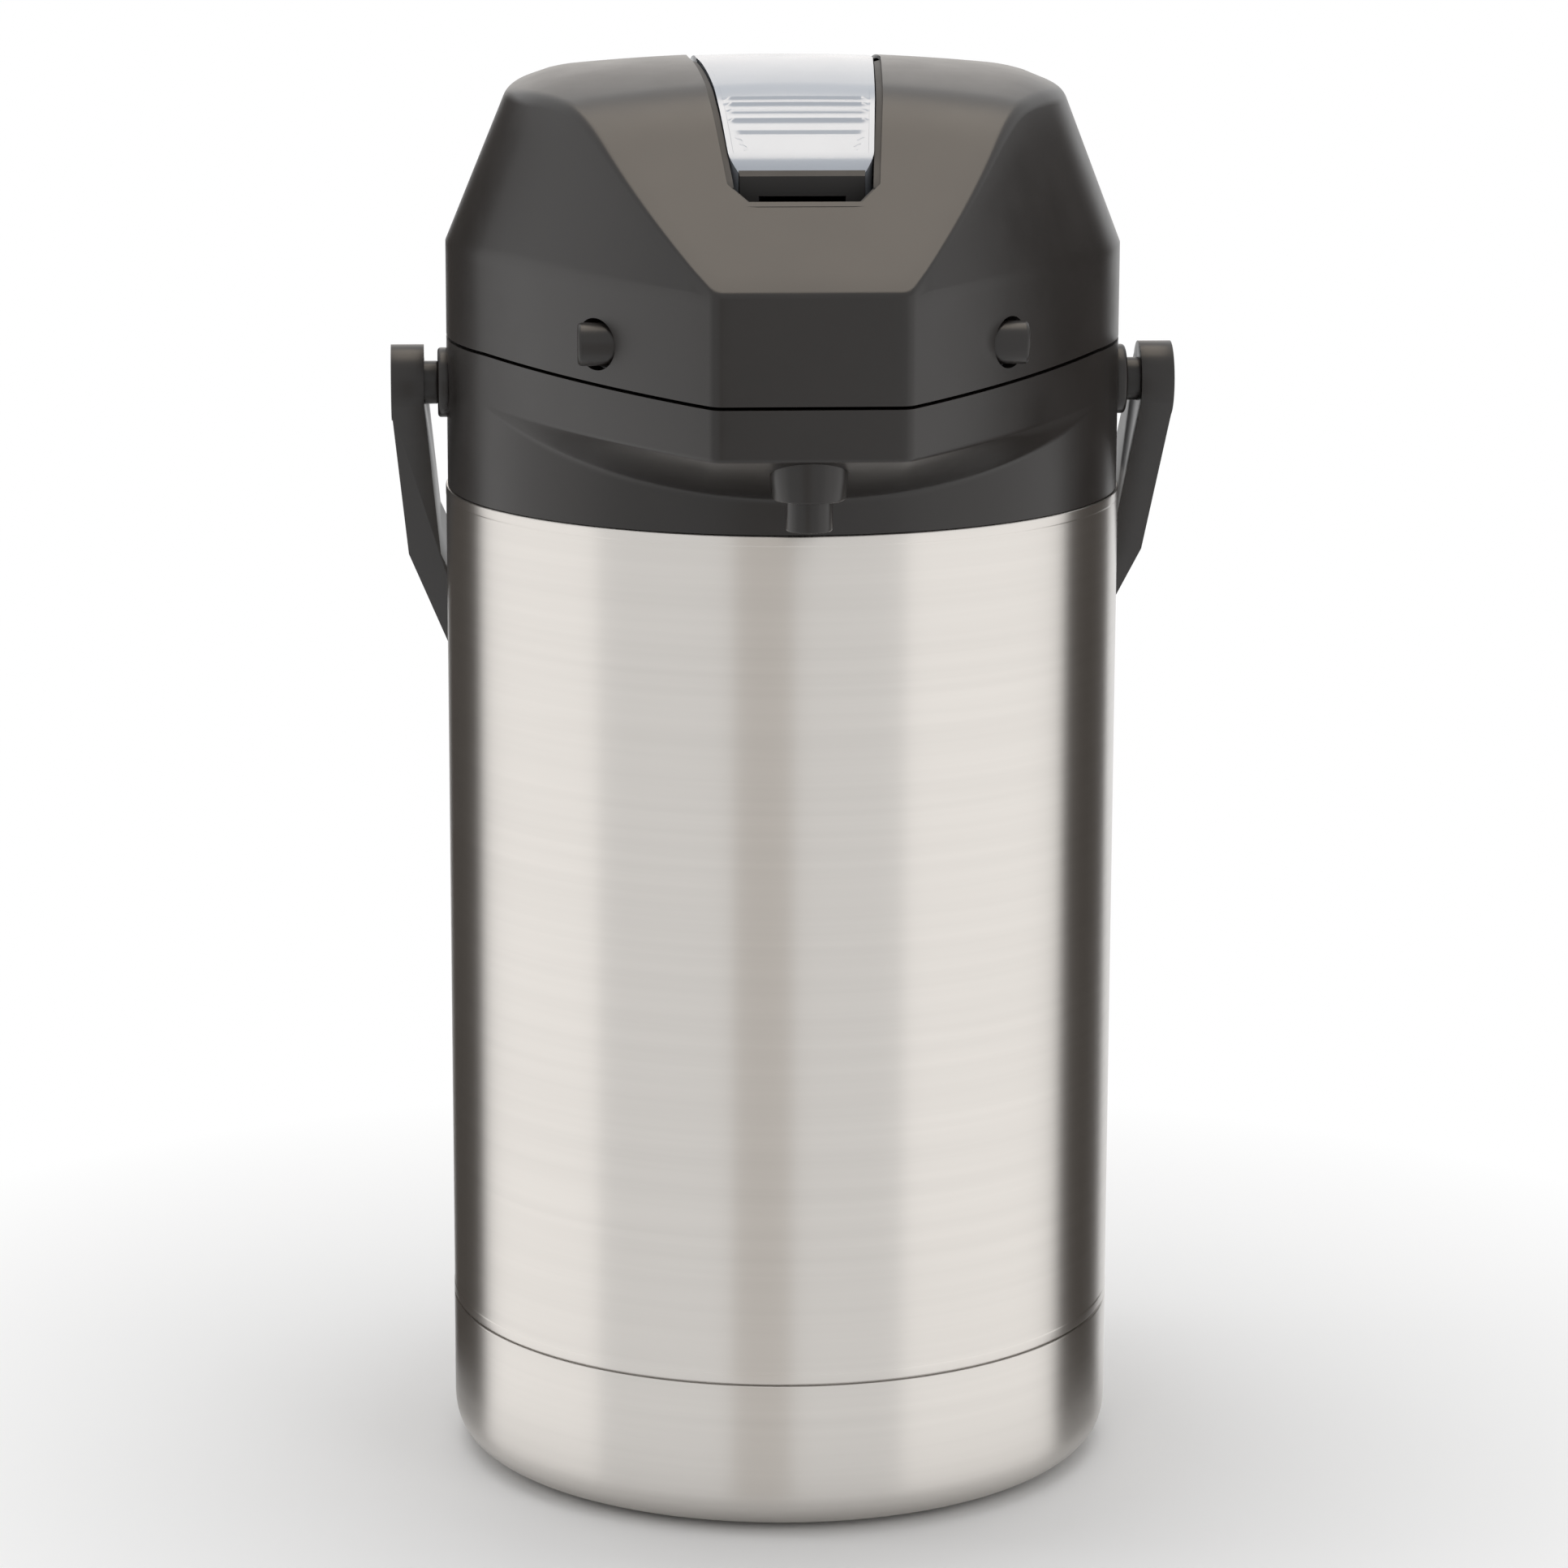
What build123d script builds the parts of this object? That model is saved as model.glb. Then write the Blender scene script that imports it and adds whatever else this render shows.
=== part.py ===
"""A lever airpot: a steel vacuum body with a plastic shoulder, a hinged pump lid and a bail handle.

The origin is the middle of the base, where it stands. +Z is up, and the spout points to -Y.
"""

from math import cos, radians, sin, sqrt
import os

from build123d import *

os.makedirs("parts", exist_ok=True)

# Driving dimensions in millimetres

body_radius = 82.5
steel_wall = 0.8
foot_height = 1.0
cup_corner = 14.4
seam_height = 38.4
seam_gap = 0.4
steel_top = 243.9
cup_overlap = 8.0
base_opening = 60.0
foot_radius = 64.0

liner_radius = 70.0
liner_wall = 1.2
liner_bottom = 14.0
liner_corner = 18.0
liner_shoulder = 204.0
neck_radius = 37.2
neck_top = 250.0
neck_flange = 41.0
liner_rise = 22.0
liner_round = 14.0
cushion_radius = (30.0, 48.0)

head_radius = 82.0
head_wall = 2.5
front_half_width = 22.0
front_reach = 112.5
flare_angle = 62.6
panel_bulge = 3.0
front_corner = 4.5
ridge_front = 265.8
ridge_tip = 268.3
underside_root = 251.0
underside_slope = 0.353

split_front = 277.5
split_side = 280.2
split_gap = 0.8
crease_height = 303.5
lid_top = 350.0
lid_lean = 0.4
top_shift = 9.3
slope_rise = 0.634
crown_height = lid_top - 1.6
crown_middle = -5.0
crown_radius = 190.0
crown_sideways = 540.0
roll_start = 50.0
roll_end = 84.0
roll_drop = 26.0

notch_half_width = 23.2
notch_deck_half_width = 20.3
notch_front_half_width = 17.5
notch_tip_half_width = 13.0
notch_front = -84.5
notch_rear = 56.0
deck_edge = -50.0
well_wall = 2.0
well_bottom = 317.0
well_front_bottom = 285.0

lever_gap = 1.9
lever_front = -74.0
lever_rear = 54.0
lever_sink = 0.2
lever_skin = 1.4
lever_depth = 8.8
lever_pivot = (48.0, 326.0)
lever_barrel = 5.0
lever_pin_radius = 2.0
roller_radius = 4.0
roller_half = 12.0

plate_radius = 43.0
plate_bottom = 312.0
plate_thickness = 2.5
boss_radius = 12.0

floor_bottom = 281.0
floor_thickness = 2.0
pump_cup_radius = 36.0
pump_cup_wall = 2.5
pump_cup_bottom = 267.0
cup_hole = 6.0
mouth_radius = 41.5
mouth_wall = 3.0
mouth_top = 268.0
deck_height = 248.0
deck_thickness = 2.5
seal_height = 2.7
bellows_radius = 42.0
bellows_fold = 5.0
bellows_folds = 5
bellows_wall = 0.8
spring_radius = 20.0
spring_wire = 1.0
spring_pitch = 4.6
screw_places = ((56.0, 20.0), (50.0, -35.0))
screw_radius = 3.5
screw_head = 2.5

button_radius = 4.97
button_hole = 6.0
button_end = 51.8
button_place = (-80.0, 288.4)
hook_inner = 26.0
hook_thickness = 4.0
hook_half_width = 4.0
hook_bottom = 268.5
keeper_length = 14.5
bracket_inner = 32.0
bracket_thickness = 5.0

spout_radius = 4.5
spout_level = 260.2
spout_crest = 274.2
spout_wall = 0.8
nozzle_place = -102.0
nozzle_flange = 8.9
nozzle_taper = 8.4
nozzle_tube = 5.35
nozzle_shoulder = 255.8
nozzle_end = 248.6
nozzle_seat = 262.5
vent_circle = 24.0
vent_radius = 4.0

hinge_place = (88.0, 281.0)
hinge_knuckle = 5.0
hinge_pin_radius = 2.0
hinge_half = 28.0
hinge_middle = 17.5
hinge_clearance = 0.5

handle_pivot_height = 268.8
handle_angle = 35.5
handle_stand = 13.5
handle_half_width = head_radius + handle_stand
handle_waist = 50.0
handle_waist_lean = 3.5
handle_reach = 160.0
handle_grip_half_width = 58.0
handle_thickness = 8.0
handle_round = 26.0
handle_depth = 18.6
spindle_radius = 5.25
spindle_flange = 8.5
flange_outer = head_radius + 2.2
cap_radius = 7.0
cap_thickness = 1.4

running_clearance = 0.05
body_clearance = 0.3
slip_clearance = 0.2
tall = 200.0
beyond = 30.0
wide = 400.0

# Sizes that follow from those above

flare = radians(flare_angle)
tip_x = head_radius * sin(flare)
tip_y = -head_radius * cos(flare)


def revolve_profile(points, rounds=()):
    """Revolves a closed profile of (radius, height) points about Z, with (index, radius) rounds."""
    with BuildPart() as turned:
        with BuildSketch(Plane.XZ) as profile:
            with BuildLine():
                Polyline(*points, close=True)
            make_face()
            for index, radius in rounds:
                corner = Vector(points[index][0], points[index][1])
                fillet(profile.vertices().sort_by_distance(corner)[0], radius)
        revolve(axis=Axis.Z)
    return turned.part


def tube_x(x_from, x_to, place, radius):
    """A round bar along X, centred on place, which is a (y, z) pair."""
    with BuildPart() as bar:
        with BuildSketch(Plane.YZ.offset(x_from)):
            with Locations(place):
                Circle(radius)
        extrude(amount=x_to - x_from)
    return bar.part


def block(x_range, y_range, z_range):
    """A rectangular block between the given limits."""
    with BuildPart() as cube:
        with BuildSketch(Plane.XY.offset(z_range[0])):
            with Locations(((x_range[0] + x_range[1]) / 2, (y_range[0] + y_range[1]) / 2)):
                Rectangle(x_range[1] - x_range[0], y_range[1] - y_range[0])
        extrude(amount=z_range[1] - z_range[0])
    return cube.part


def ring(outer, hole, z_from, z_to, place=(0, 0)):
    """A plain upright ring, or a disc where hole is zero."""
    with BuildPart() as band:
        with BuildSketch(Plane.XY.offset(z_from)):
            with Locations(place):
                Circle(outer)
                if hole:
                    Circle(hole, mode=Mode.SUBTRACT)
        extrude(amount=z_to - z_from)
    return band.part


def side_profile(points, half_width=wide / 2):
    """A prism along X with a side outline of (y, z) points."""
    with BuildPart() as prism:
        with BuildSketch(Plane.YZ):
            with BuildLine():
                Polyline(*points, close=True)
            make_face()
        extrude(amount=half_width, both=True)
    return prism.part


def panel_middle(front, tip, bulge):
    """The middle point of a side panel's arc, bulged outwards from its chord."""
    run = Vector(tip[0] - front[0], tip[1] - front[1])
    outward = Vector(-run.Y, run.X).normalized() * -bulge
    return ((front[0] + tip[0]) / 2 + outward.X, (front[1] + tip[1]) / 2 + outward.Y)


def head_outline(plane, front, tip, bulge, rear, inset=0.0, corner=front_corner):
    """The head's outline on a plane: a flat front, two bulged panels and a round rear."""
    middle = panel_middle(front, tip, bulge)
    with BuildSketch(plane) as outline:
        with BuildLine():
            Line((-front[0], front[1]), front)
            ThreePointArc(front, middle, tip)
            ThreePointArc(tip, (0, rear), (-tip[0], tip[1]))
            ThreePointArc((-tip[0], tip[1]), (-middle[0], middle[1]), (-front[0], front[1]))
        make_face()
        if inset:
            offset(amount=-inset, kind=Kind.INTERSECTION)
        if corner > inset:
            fillet(outline.vertices().group_by(Axis.Y)[0], corner - inset)
    return outline.sketch


def plan_outline(plane, inset=0.0):
    """The outline that the shoulder and the lid share."""
    front = (front_half_width, -front_reach)
    return head_outline(plane, front, (tip_x, tip_y), panel_bulge, head_radius, inset)


def top_outline(inset=0.0):
    """The lid's outline at lid_top, drawn in by the lean of its sides."""
    lean = lid_lean * (lid_top - crease_height)
    radius = head_radius - lean
    y = tip_y + 2.0
    tip = (sqrt(radius**2 - (y + top_shift) ** 2), y)
    front = (front_half_width - 4.5, -front_reach + 18.0)
    return head_outline(Plane.XY.offset(lid_top), front, tip, 2.4, radius - top_shift, inset)


def lid_form(inset, bottom_drop=0.0):
    """The lid's outer form, or the same form drawn in on every side for its hollow."""
    base = split_side + split_gap - bottom_drop
    front_base = base - split_side + split_front
    knee = tip_y
    slope_foot = crease_height - inset * sqrt(1 + slope_rise**2)
    reach = front_reach + beyond
    front_drop = (split_side - split_front) / (front_reach + knee)
    profile = side_profile(
        [
            (-reach, front_base - beyond * front_drop),
            (-reach, slope_foot - beyond * slope_rise),
            (-front_reach + (lid_top + 10 - slope_foot) / slope_rise, lid_top + 10),
            (reach, lid_top + 10),
            (reach, base),
            (knee, base),
        ]
    )
    low = crown_height - crown_radius
    radius = crown_radius - inset
    sag = roll_start**2 / 2 / crown_sideways
    with BuildPart() as form:
        plan_lower = plan_outline(Plane.XY.offset(split_front - 10), inset)
        extrude(plan_lower, amount=crease_height - split_front + 10)
        loft([plan_outline(Plane.XY.offset(crease_height), inset), top_outline(inset)], ruled=True)
        add(profile, mode=Mode.INTERSECT)
        with BuildSketch(Plane.XZ.offset(-crown_middle)):
            with BuildLine():
                top = low + radius
                crown = ThreePointArc(
                    (-roll_start, top - sag), (0, top), (roll_start, top - sag)
                )
                right = TangentArc(crown @ 1, (roll_end, top - roll_drop), tangent=crown % 1)
                left = mirror(right, about=Plane.YZ)
                Polyline(right @ 1, (roll_end, low), (-roll_end, low), (-roll_end, top - roll_drop))
            make_face()
        revolve(axis=Axis((0, crown_middle, low), (1, 0, 0)), mode=Mode.INTERSECT)
    return form.part


def notch_plan(z_from, z_to, grow=0.0, front=notch_front, rear=notch_rear, blunt=True):
    """The notch in the lid's top, or the lever's outline where grow is negative, as a prism."""
    tip_half = notch_tip_half_width if blunt else notch_front_half_width - 0.4
    shoulder = front + 5.5 if blunt else front + 1.5
    right = [
        (tip_half, front),
        (notch_front_half_width, shoulder),
        (notch_deck_half_width, deck_edge),
        (notch_half_width, crown_middle),
        (notch_half_width, rear),
    ]
    left = [(-x, y) for x, y in reversed(right)]
    with BuildPart() as prism:
        with BuildSketch(Plane.XY.offset(z_from)):
            with BuildLine():
                Polyline(*right, *left, close=True)
            make_face()
            if grow:
                offset(amount=grow, kind=Kind.INTERSECTION)
        extrude(amount=z_to - z_from)
    return prism.part


def write(part, name):
    """Labels a finished piece and writes its STEP file."""
    part.label = name
    export_step(part, f"parts/{name}.step")
    print(name, len(part.solids()), round(part.volume), part.is_valid)


# Steel body

cup_outer = revolve_profile(
    [
        (base_opening, foot_height),
        (body_radius, foot_height),
        (body_radius, seam_height - seam_gap / 2),
        (body_radius - steel_wall - slip_clearance, seam_height - seam_gap / 2),
        (body_radius - steel_wall - slip_clearance, seam_height + cup_overlap),
        (body_radius - 2 * steel_wall - slip_clearance, seam_height + cup_overlap),
        (body_radius - 2 * steel_wall - slip_clearance, foot_height + steel_wall),
        (base_opening, foot_height + steel_wall),
    ],
    [(1, cup_corner), (6, cup_corner - 2 * steel_wall)],
)
write(cup_outer, "base_cup")

with BuildPart() as base_plate:
    with BuildSketch():
        Circle(foot_radius)
    extrude(amount=foot_height)
    with BuildSketch(Plane.XY.offset(foot_height)):
        Circle(base_opening - slip_clearance)
    extrude(amount=steel_wall)
write(base_plate.part, "base_plate")

shell = revolve_profile(
    [
        (body_radius - steel_wall, seam_height + seam_gap / 2),
        (body_radius, seam_height + seam_gap / 2),
        (body_radius, steel_top),
        (body_radius - steel_wall, steel_top),
    ],
    [(1, 0.5), (2, 0.5)],
)
write(shell, "outer_shell")

inner = liner_radius - liner_wall
neck_inner = neck_radius - liner_wall
liner = revolve_profile(
    [
        (0, liner_bottom),
        (liner_radius, liner_bottom),
        (liner_radius, liner_shoulder),
        (neck_radius, liner_shoulder + liner_rise),
        (neck_radius, neck_top - liner_wall),
        (neck_flange, neck_top - liner_wall),
        (neck_flange, neck_top),
        (neck_inner, neck_top),
        (neck_inner, liner_shoulder + liner_rise - 0.7),
        (inner, liner_shoulder - 0.7),
        (inner, liner_bottom + liner_wall),
        (0, liner_bottom + liner_wall),
    ],
    [(1, liner_corner), (10, liner_corner - liner_wall), (2, liner_round), (9, liner_round - liner_wall)],
)
write(liner, "inner_liner")

# Cushion and seals

cushion = revolve_profile(
    [
        (cushion_radius[0], foot_height + steel_wall),
        (cushion_radius[1], foot_height + steel_wall),
        (cushion_radius[1] - 2, liner_bottom),
        (cushion_radius[0] + 2, liner_bottom),
    ]
)
write(cushion, "liner_cushion")

neck_seal = revolve_profile(
    [
        (neck_flange + slip_clearance, deck_height - 3),
        (neck_flange + 6, deck_height - 3),
        (neck_flange + 6, deck_height),
        (neck_flange + slip_clearance, deck_height),
    ],
)
write(neck_seal, "neck_seal")

# Shoulder collar and its prow over the spout


def prow_under(inset):
    """The spout's overhang between the underside's root on the body and the ridge under the panels."""
    ridge_slope = (ridge_tip - ridge_front) / (front_reach + tip_y)
    ridge = Plane((0, tip_y, ridge_tip + inset), x_dir=(1, 0, 0), z_dir=(0, -ridge_slope, 1))
    stretch = sqrt(1 + underside_slope**2)
    root_y = -(head_radius - 3)
    root_z = underside_root + underside_slope * (tip_y - root_y) + inset
    root = Plane((0, tip_y, root_z), x_dir=(1, 0, 0), z_dir=(0, -underside_slope, 1))
    front = (front_half_width, -front_reach - tip_y)
    middle = panel_middle(front, (tip_x, 0), panel_bulge)
    low_front = (front_half_width / 2.5, (root_y - tip_y) * stretch)
    low_tip = (tip_x - 3, 0)
    with BuildPart() as prow:
        for plane, near, mid, far, corner in (
            (ridge, front, middle, (tip_x, 0), front_corner),
            (root, low_front, panel_middle(low_front, low_tip, 13.0), low_tip, 12.0),
        ):
            with BuildSketch(plane) as section:
                with BuildLine():
                    Line((-near[0], near[1]), near)
                    ThreePointArc(near, mid, far)
                    Line(far, (-far[0], far[1]))
                    ThreePointArc((-far[0], far[1]), (-mid[0], mid[1]), (-near[0], near[1]))
                make_face()
                if inset:
                    offset(amount=-inset, kind=Kind.INTERSECTION)
                fillet(section.vertices().group_by(Axis.Y)[0], corner - inset)
        loft(ruled=True)
    with BuildPart() as upper:
        with BuildSketch(ridge) as full:
            with BuildLine():
                Line((-front[0], front[1]), front)
                ThreePointArc(front, middle, (tip_x, 0))
                Line((tip_x, 0), (-tip_x, 0))
                ThreePointArc((-tip_x, 0), (-middle[0], middle[1]), (-front[0], front[1]))
            make_face()
            if inset:
                offset(amount=-inset, kind=Kind.INTERSECTION)
            fillet(full.vertices().group_by(Axis.Y)[0], front_corner - inset)
        extrude(amount=20, dir=(0, 0, 1))
    return prow.part + upper.part


split_slope = (split_side - split_front) / (front_reach + tip_y)


def below_split(bottom):
    """Everything under the line where the shoulder ends and the lid starts."""
    far = front_reach + beyond
    points = [(-far, bottom), (far, bottom), (far, split_side), (tip_y, split_side)]
    points.append((-far, split_front - beyond * split_slope))
    return side_profile(points)


prow_outer = prow_under(0)
prow_inner = prow_under(head_wall)
collar_bottom = steel_top + slip_clearance
skirt_radius = body_radius - steel_wall - slip_clearance
keeper_x = hook_inner + hook_thickness + 1.5
button_y, button_z = button_place
keeper_z = hook_bottom + 3.5
pivot_place = (0.0, handle_pivot_height)

with BuildPart() as collar_body:
    with BuildSketch(Plane.XY.offset(collar_bottom)):
        Circle(head_radius)
    extrude(amount=split_side - collar_bottom)
    add(prow_outer)
    with BuildSketch(Plane.XY.offset(collar_bottom)):
        Circle(head_radius - head_wall)
    extrude(amount=tall, mode=Mode.SUBTRACT)
    add(prow_inner, mode=Mode.SUBTRACT)
    add(below_split(collar_bottom - 1), mode=Mode.INTERSECT)

with BuildPart() as shoulder_collar:
    add(collar_body.part)
    add(ring(skirt_radius, skirt_radius - head_wall, collar_bottom - 10, collar_bottom))
    add(ring(head_radius - 1, skirt_radius - head_wall, collar_bottom, collar_bottom + 1.5))
    add(ring(head_radius - 1, mouth_radius, deck_height, deck_height + deck_thickness))
    add(ring(mouth_radius + mouth_wall, mouth_radius, deck_height, mouth_top))
    for side in (1, -1):
        near_x = side * keeper_x
        far_x = side * (keeper_x + keeper_length)
        x_range = (min(near_x, far_x), max(near_x, far_x))
        with BuildPart(mode=Mode.PRIVATE) as keeper:
            add(block(x_range, (button_y - 5, button_y + 5), (keeper_z, keeper_z + 2.5)))
            add(prow_outer, mode=Mode.INTERSECT)
        add(keeper.part)
    spout_slot = (spout_level - spout_radius - 0.7, spout_level + spout_radius + 0.5)
    slot_y = (-mouth_radius - mouth_wall - 5.5, -mouth_radius + 3.5)
    add(block((-spout_radius - 1, spout_radius + 1), slot_y, spout_slot), mode=Mode.SUBTRACT)
    with BuildSketch(Plane.XY.offset(nozzle_end)):
        with Locations((0, nozzle_place)):
            Circle(nozzle_flange)
    extrude(amount=nozzle_seat - nozzle_end, mode=Mode.SUBTRACT)
    add(ring(spout_radius + 1, 0, nozzle_seat, nozzle_seat + 6, (0, nozzle_place)), mode=Mode.SUBTRACT)
    for side in (1, -1):
        lug = side_profile(
            [
                (head_radius - 12, hinge_place[1] - 11),
                (hinge_place[0] - 3, hinge_place[1] - 11),
                (hinge_place[0] + 4, hinge_place[1] - 3),
                (hinge_place[0] - 2, hinge_place[1] - 1.4),
                (head_radius - 12, hinge_place[1] - 1.4),
            ]
        )
        lug_from = side * (hinge_middle + hinge_clearance)
        lug_to = side * hinge_half
        x_low, x_high = min(lug_from, lug_to), max(lug_from, lug_to)
        with BuildPart(mode=Mode.PRIVATE) as ear:
            add(lug)
            add(block((x_low, x_high), (0, wide), (0, wide)), mode=Mode.INTERSECT)
            with BuildSketch():
                Circle(head_radius - head_wall)
            extrude(amount=wide, mode=Mode.SUBTRACT)
            add(tube_x(x_low, x_high, hinge_place, hinge_knuckle))
        add(ear.part)
    add(tube_x(-hinge_half, hinge_half, hinge_place, hinge_pin_radius), mode=Mode.SUBTRACT)
    for side in (1, -1):
        x_flange = side * (head_radius - 1)
        outer_end = side * (flange_outer + 5)
        add(
            tube_x(min(x_flange, outer_end), max(x_flange, outer_end), pivot_place, spindle_flange),
            mode=Mode.SUBTRACT,
        )
        x_hole = side * (head_radius - 12)
        add(
            tube_x(min(x_hole, outer_end), max(x_hole, outer_end), pivot_place, spindle_radius - 1),
            mode=Mode.SUBTRACT,
        )
write(shoulder_collar.part, "shoulder_collar")

# Spout: the tube from the stem to the nozzle, and the nozzle

spout_path_points = [
    (0, -22, spout_level),
    (0, -58, spout_level),
    (0, nozzle_place, spout_crest),
    (0, nozzle_place, nozzle_shoulder + 0.5),
]
with BuildPart() as spout_tube:
    with BuildLine() as spout_path:
        FilletPolyline(*spout_path_points, radius=(30, 8.5))
    with BuildSketch(Plane(spout_path.line @ 0, z_dir=spout_path.line % 0)):
        Circle(spout_radius)
        Circle(spout_radius - spout_wall, mode=Mode.SUBTRACT)
    sweep()
write(spout_tube.part, "spout_tube")

with BuildPart() as nozzle:
    with BuildSketch(Plane.XZ.offset(-nozzle_place)):
        with BuildLine():
            Polyline(
                (0, nozzle_end),
                (nozzle_tube, nozzle_end),
                (nozzle_tube, nozzle_shoulder),
                (nozzle_taper, nozzle_shoulder),
                (nozzle_flange, nozzle_shoulder + 5.5),
                (nozzle_flange, nozzle_seat),
                (0, nozzle_seat),
                close=True,
            )
        make_face()
    revolve(axis=Axis((0, nozzle_place, 0), (0, 0, 1)))
    with BuildSketch(Plane.XY.offset(nozzle_end)):
        with Locations((0, nozzle_place)):
            Circle(spout_radius - spout_wall)
    extrude(amount=30, mode=Mode.SUBTRACT)
    with BuildSketch(Plane.XY.offset(nozzle_shoulder + 0.5)):
        with Locations((0, nozzle_place)):
            Circle(spout_radius)
    extrude(amount=30, mode=Mode.SUBTRACT)
    with BuildPart(mode=Mode.PRIVATE) as clear_of_wall:
        add(prow_outer)
        with BuildSketch(Plane.XY.offset(nozzle_end - 1)):
            with Locations((0, nozzle_place)):
                Circle(nozzle_flange + 1)
        extrude(amount=nozzle_shoulder + 6.5 - nozzle_end)
    add(clear_of_wall.part, mode=Mode.INTERSECT)
write(nozzle.part, "nozzle")

# Stem: the tube that draws from the bottom, its head in the mouth and the seal under it

stem_radius = 4.5
stem_reach = liner_bottom + liner_wall + 6.0
head_bottom = neck_top + 1.0
head_top = head_bottom + 4.0
tube_joint = spout_path_points[0][1]

write(ring(stem_radius, stem_radius - spout_wall, stem_reach, head_bottom), "pickup_tube")
write(ring(neck_flange - 1, neck_radius - 3, neck_top, head_bottom), "stem_seal")

with BuildPart() as stem_head:
    add(ring(neck_flange - slip_clearance, stem_radius - spout_wall, head_bottom, head_top))
    add(block((-8, 8), (tube_joint, 8), (head_top, spout_path_points[0][2] + 6)))
    with BuildSketch(Plane.XY.offset(head_bottom)):
        Circle(stem_radius - spout_wall)
    extrude(amount=spout_path_points[0][2] - head_bottom, mode=Mode.SUBTRACT)
    with BuildSketch(Plane.XZ.offset(-tube_joint)):
        with Locations((0, spout_path_points[0][2])):
            Circle(stem_radius - spout_wall)
    extrude(amount=tube_joint, mode=Mode.SUBTRACT)
    with PolarLocations(vent_circle, 8):
        Hole(vent_radius, depth=tall)
write(stem_head.part, "stem_head")

# Hinge pin and handle pivots

write(tube_x(-hinge_half, hinge_half, hinge_place, hinge_pin_radius), "hinge_pin")

spindle_end = handle_half_width - cap_thickness - 0.3
for side, name in ((-1, "handle_pivot_left"), (1, "handle_pivot_right")):
    spans = (
        (head_radius - 6, head_radius - 1, spindle_radius - 1),
        (head_radius - 1, flange_outer, spindle_flange),
        (flange_outer, spindle_end, spindle_radius),
    )
    with BuildPart() as pivot:
        for x_from, x_to, radius in spans:
            low_x, high_x = sorted((side * x_from, side * x_to))
            add(tube_x(low_x, high_x, pivot_place, radius))
    write(pivot.part, name)

# Carry handle

down = radians(handle_angle)
handle_plane = Plane((0, 0, handle_pivot_height), x_dir=(1, 0, 0), z_dir=(0, cos(down), sin(down)))
handle_lines = (
    (0.0, handle_half_width),
    (handle_waist, handle_half_width - handle_waist_lean),
    (handle_reach + handle_thickness / 2, handle_grip_half_width),
)
with BuildPart() as carry_handle:
    for inset, corner, mode in (
        (0.0, handle_round, Mode.ADD),
        (handle_thickness, handle_round - 7, Mode.SUBTRACT),
    ):
        right = [(half - inset, reach) for reach, half in handle_lines]
        right[-1] = (right[-1][0], right[-1][1] - inset)
        left = [(-x, y) for x, y in reversed(right)]
        with BuildSketch(handle_plane) as bail:
            with BuildLine():
                Polyline(*right, *left, close=True)
            make_face()
            fillet(bail.vertices().sort_by(Axis.Y)[-2:], corner)
        extrude(amount=handle_depth / 2, both=True, mode=mode)
    for side in (1, -1):
        low_x, high_x = sorted((side * (handle_half_width - handle_thickness), side * handle_half_width))
        add(tube_x(low_x, high_x, pivot_place, handle_depth / 2))
        low_x, high_x = sorted((side * flange_outer, side * handle_half_width))
        add(
            tube_x(low_x, high_x, pivot_place, spindle_radius + running_clearance),
            mode=Mode.SUBTRACT,
        )
        cap_x = side * (handle_half_width - cap_thickness)
        low_x, high_x = sorted((cap_x, side * handle_half_width))
        add(tube_x(low_x, high_x, pivot_place, cap_radius), mode=Mode.SUBTRACT)
write(carry_handle.part, "carry_handle")

for side, name in ((-1, "handle_cap_left"), (1, "handle_cap_right")):
    low_x, high_x = sorted((side * (handle_half_width - cap_thickness), side * handle_half_width))
    write(tube_x(low_x, high_x, pivot_place, cap_radius), name)

# Lid cover

lid_outer = lid_form(0)
lid_hollow = lid_form(head_wall, 5.0)
pivot_half = notch_half_width + well_wall

with BuildPart() as well:
    add(notch_plan(well_bottom, tall * 2, grow=well_wall))
    with BuildPart(mode=Mode.PRIVATE) as well_front:
        add(notch_plan(well_front_bottom, well_bottom, grow=well_wall))
        add(block((-wide, wide), (-wide, deck_edge + 3), (0, wide)), mode=Mode.INTERSECT)
    add(well_front.part)
    add(lid_outer, mode=Mode.INTERSECT)

with BuildPart() as lid_cover:
    add(lid_outer)
    add(lid_hollow, mode=Mode.SUBTRACT)
    add(well.part)
    with BuildPart(mode=Mode.PRIVATE) as lug:
        low_y = head_radius - 4
        add(
            block(
                (-hinge_middle, hinge_middle),
                (low_y, hinge_place[0]),
                (hinge_place[1] + 0.2, hinge_place[1] + hinge_knuckle),
            )
        )
        with BuildSketch():
            Circle(head_radius - head_wall)
        extrude(amount=wide, mode=Mode.SUBTRACT)
        add(tube_x(-hinge_middle, hinge_middle, hinge_place, hinge_knuckle))
    add(lug.part)
    add(
        tube_x(-hinge_half, hinge_half, hinge_place, hinge_pin_radius + running_clearance),
        mode=Mode.SUBTRACT,
    )
    add(notch_plan(well_front_bottom - 30, tall * 2), mode=Mode.SUBTRACT)
    add(tube_x(-pivot_half, pivot_half, lever_pivot, lever_pin_radius), mode=Mode.SUBTRACT)
    for side in (1, -1):
        low_x, high_x = sorted((side * notch_half_width, side * head_radius))
        add(tube_x(low_x, high_x, button_place, button_hole), mode=Mode.SUBTRACT)
write(lid_cover.part, "lid_cover")

# Pump: the floor of the lid with its cup, bellows, return spring, valve and seal

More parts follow.
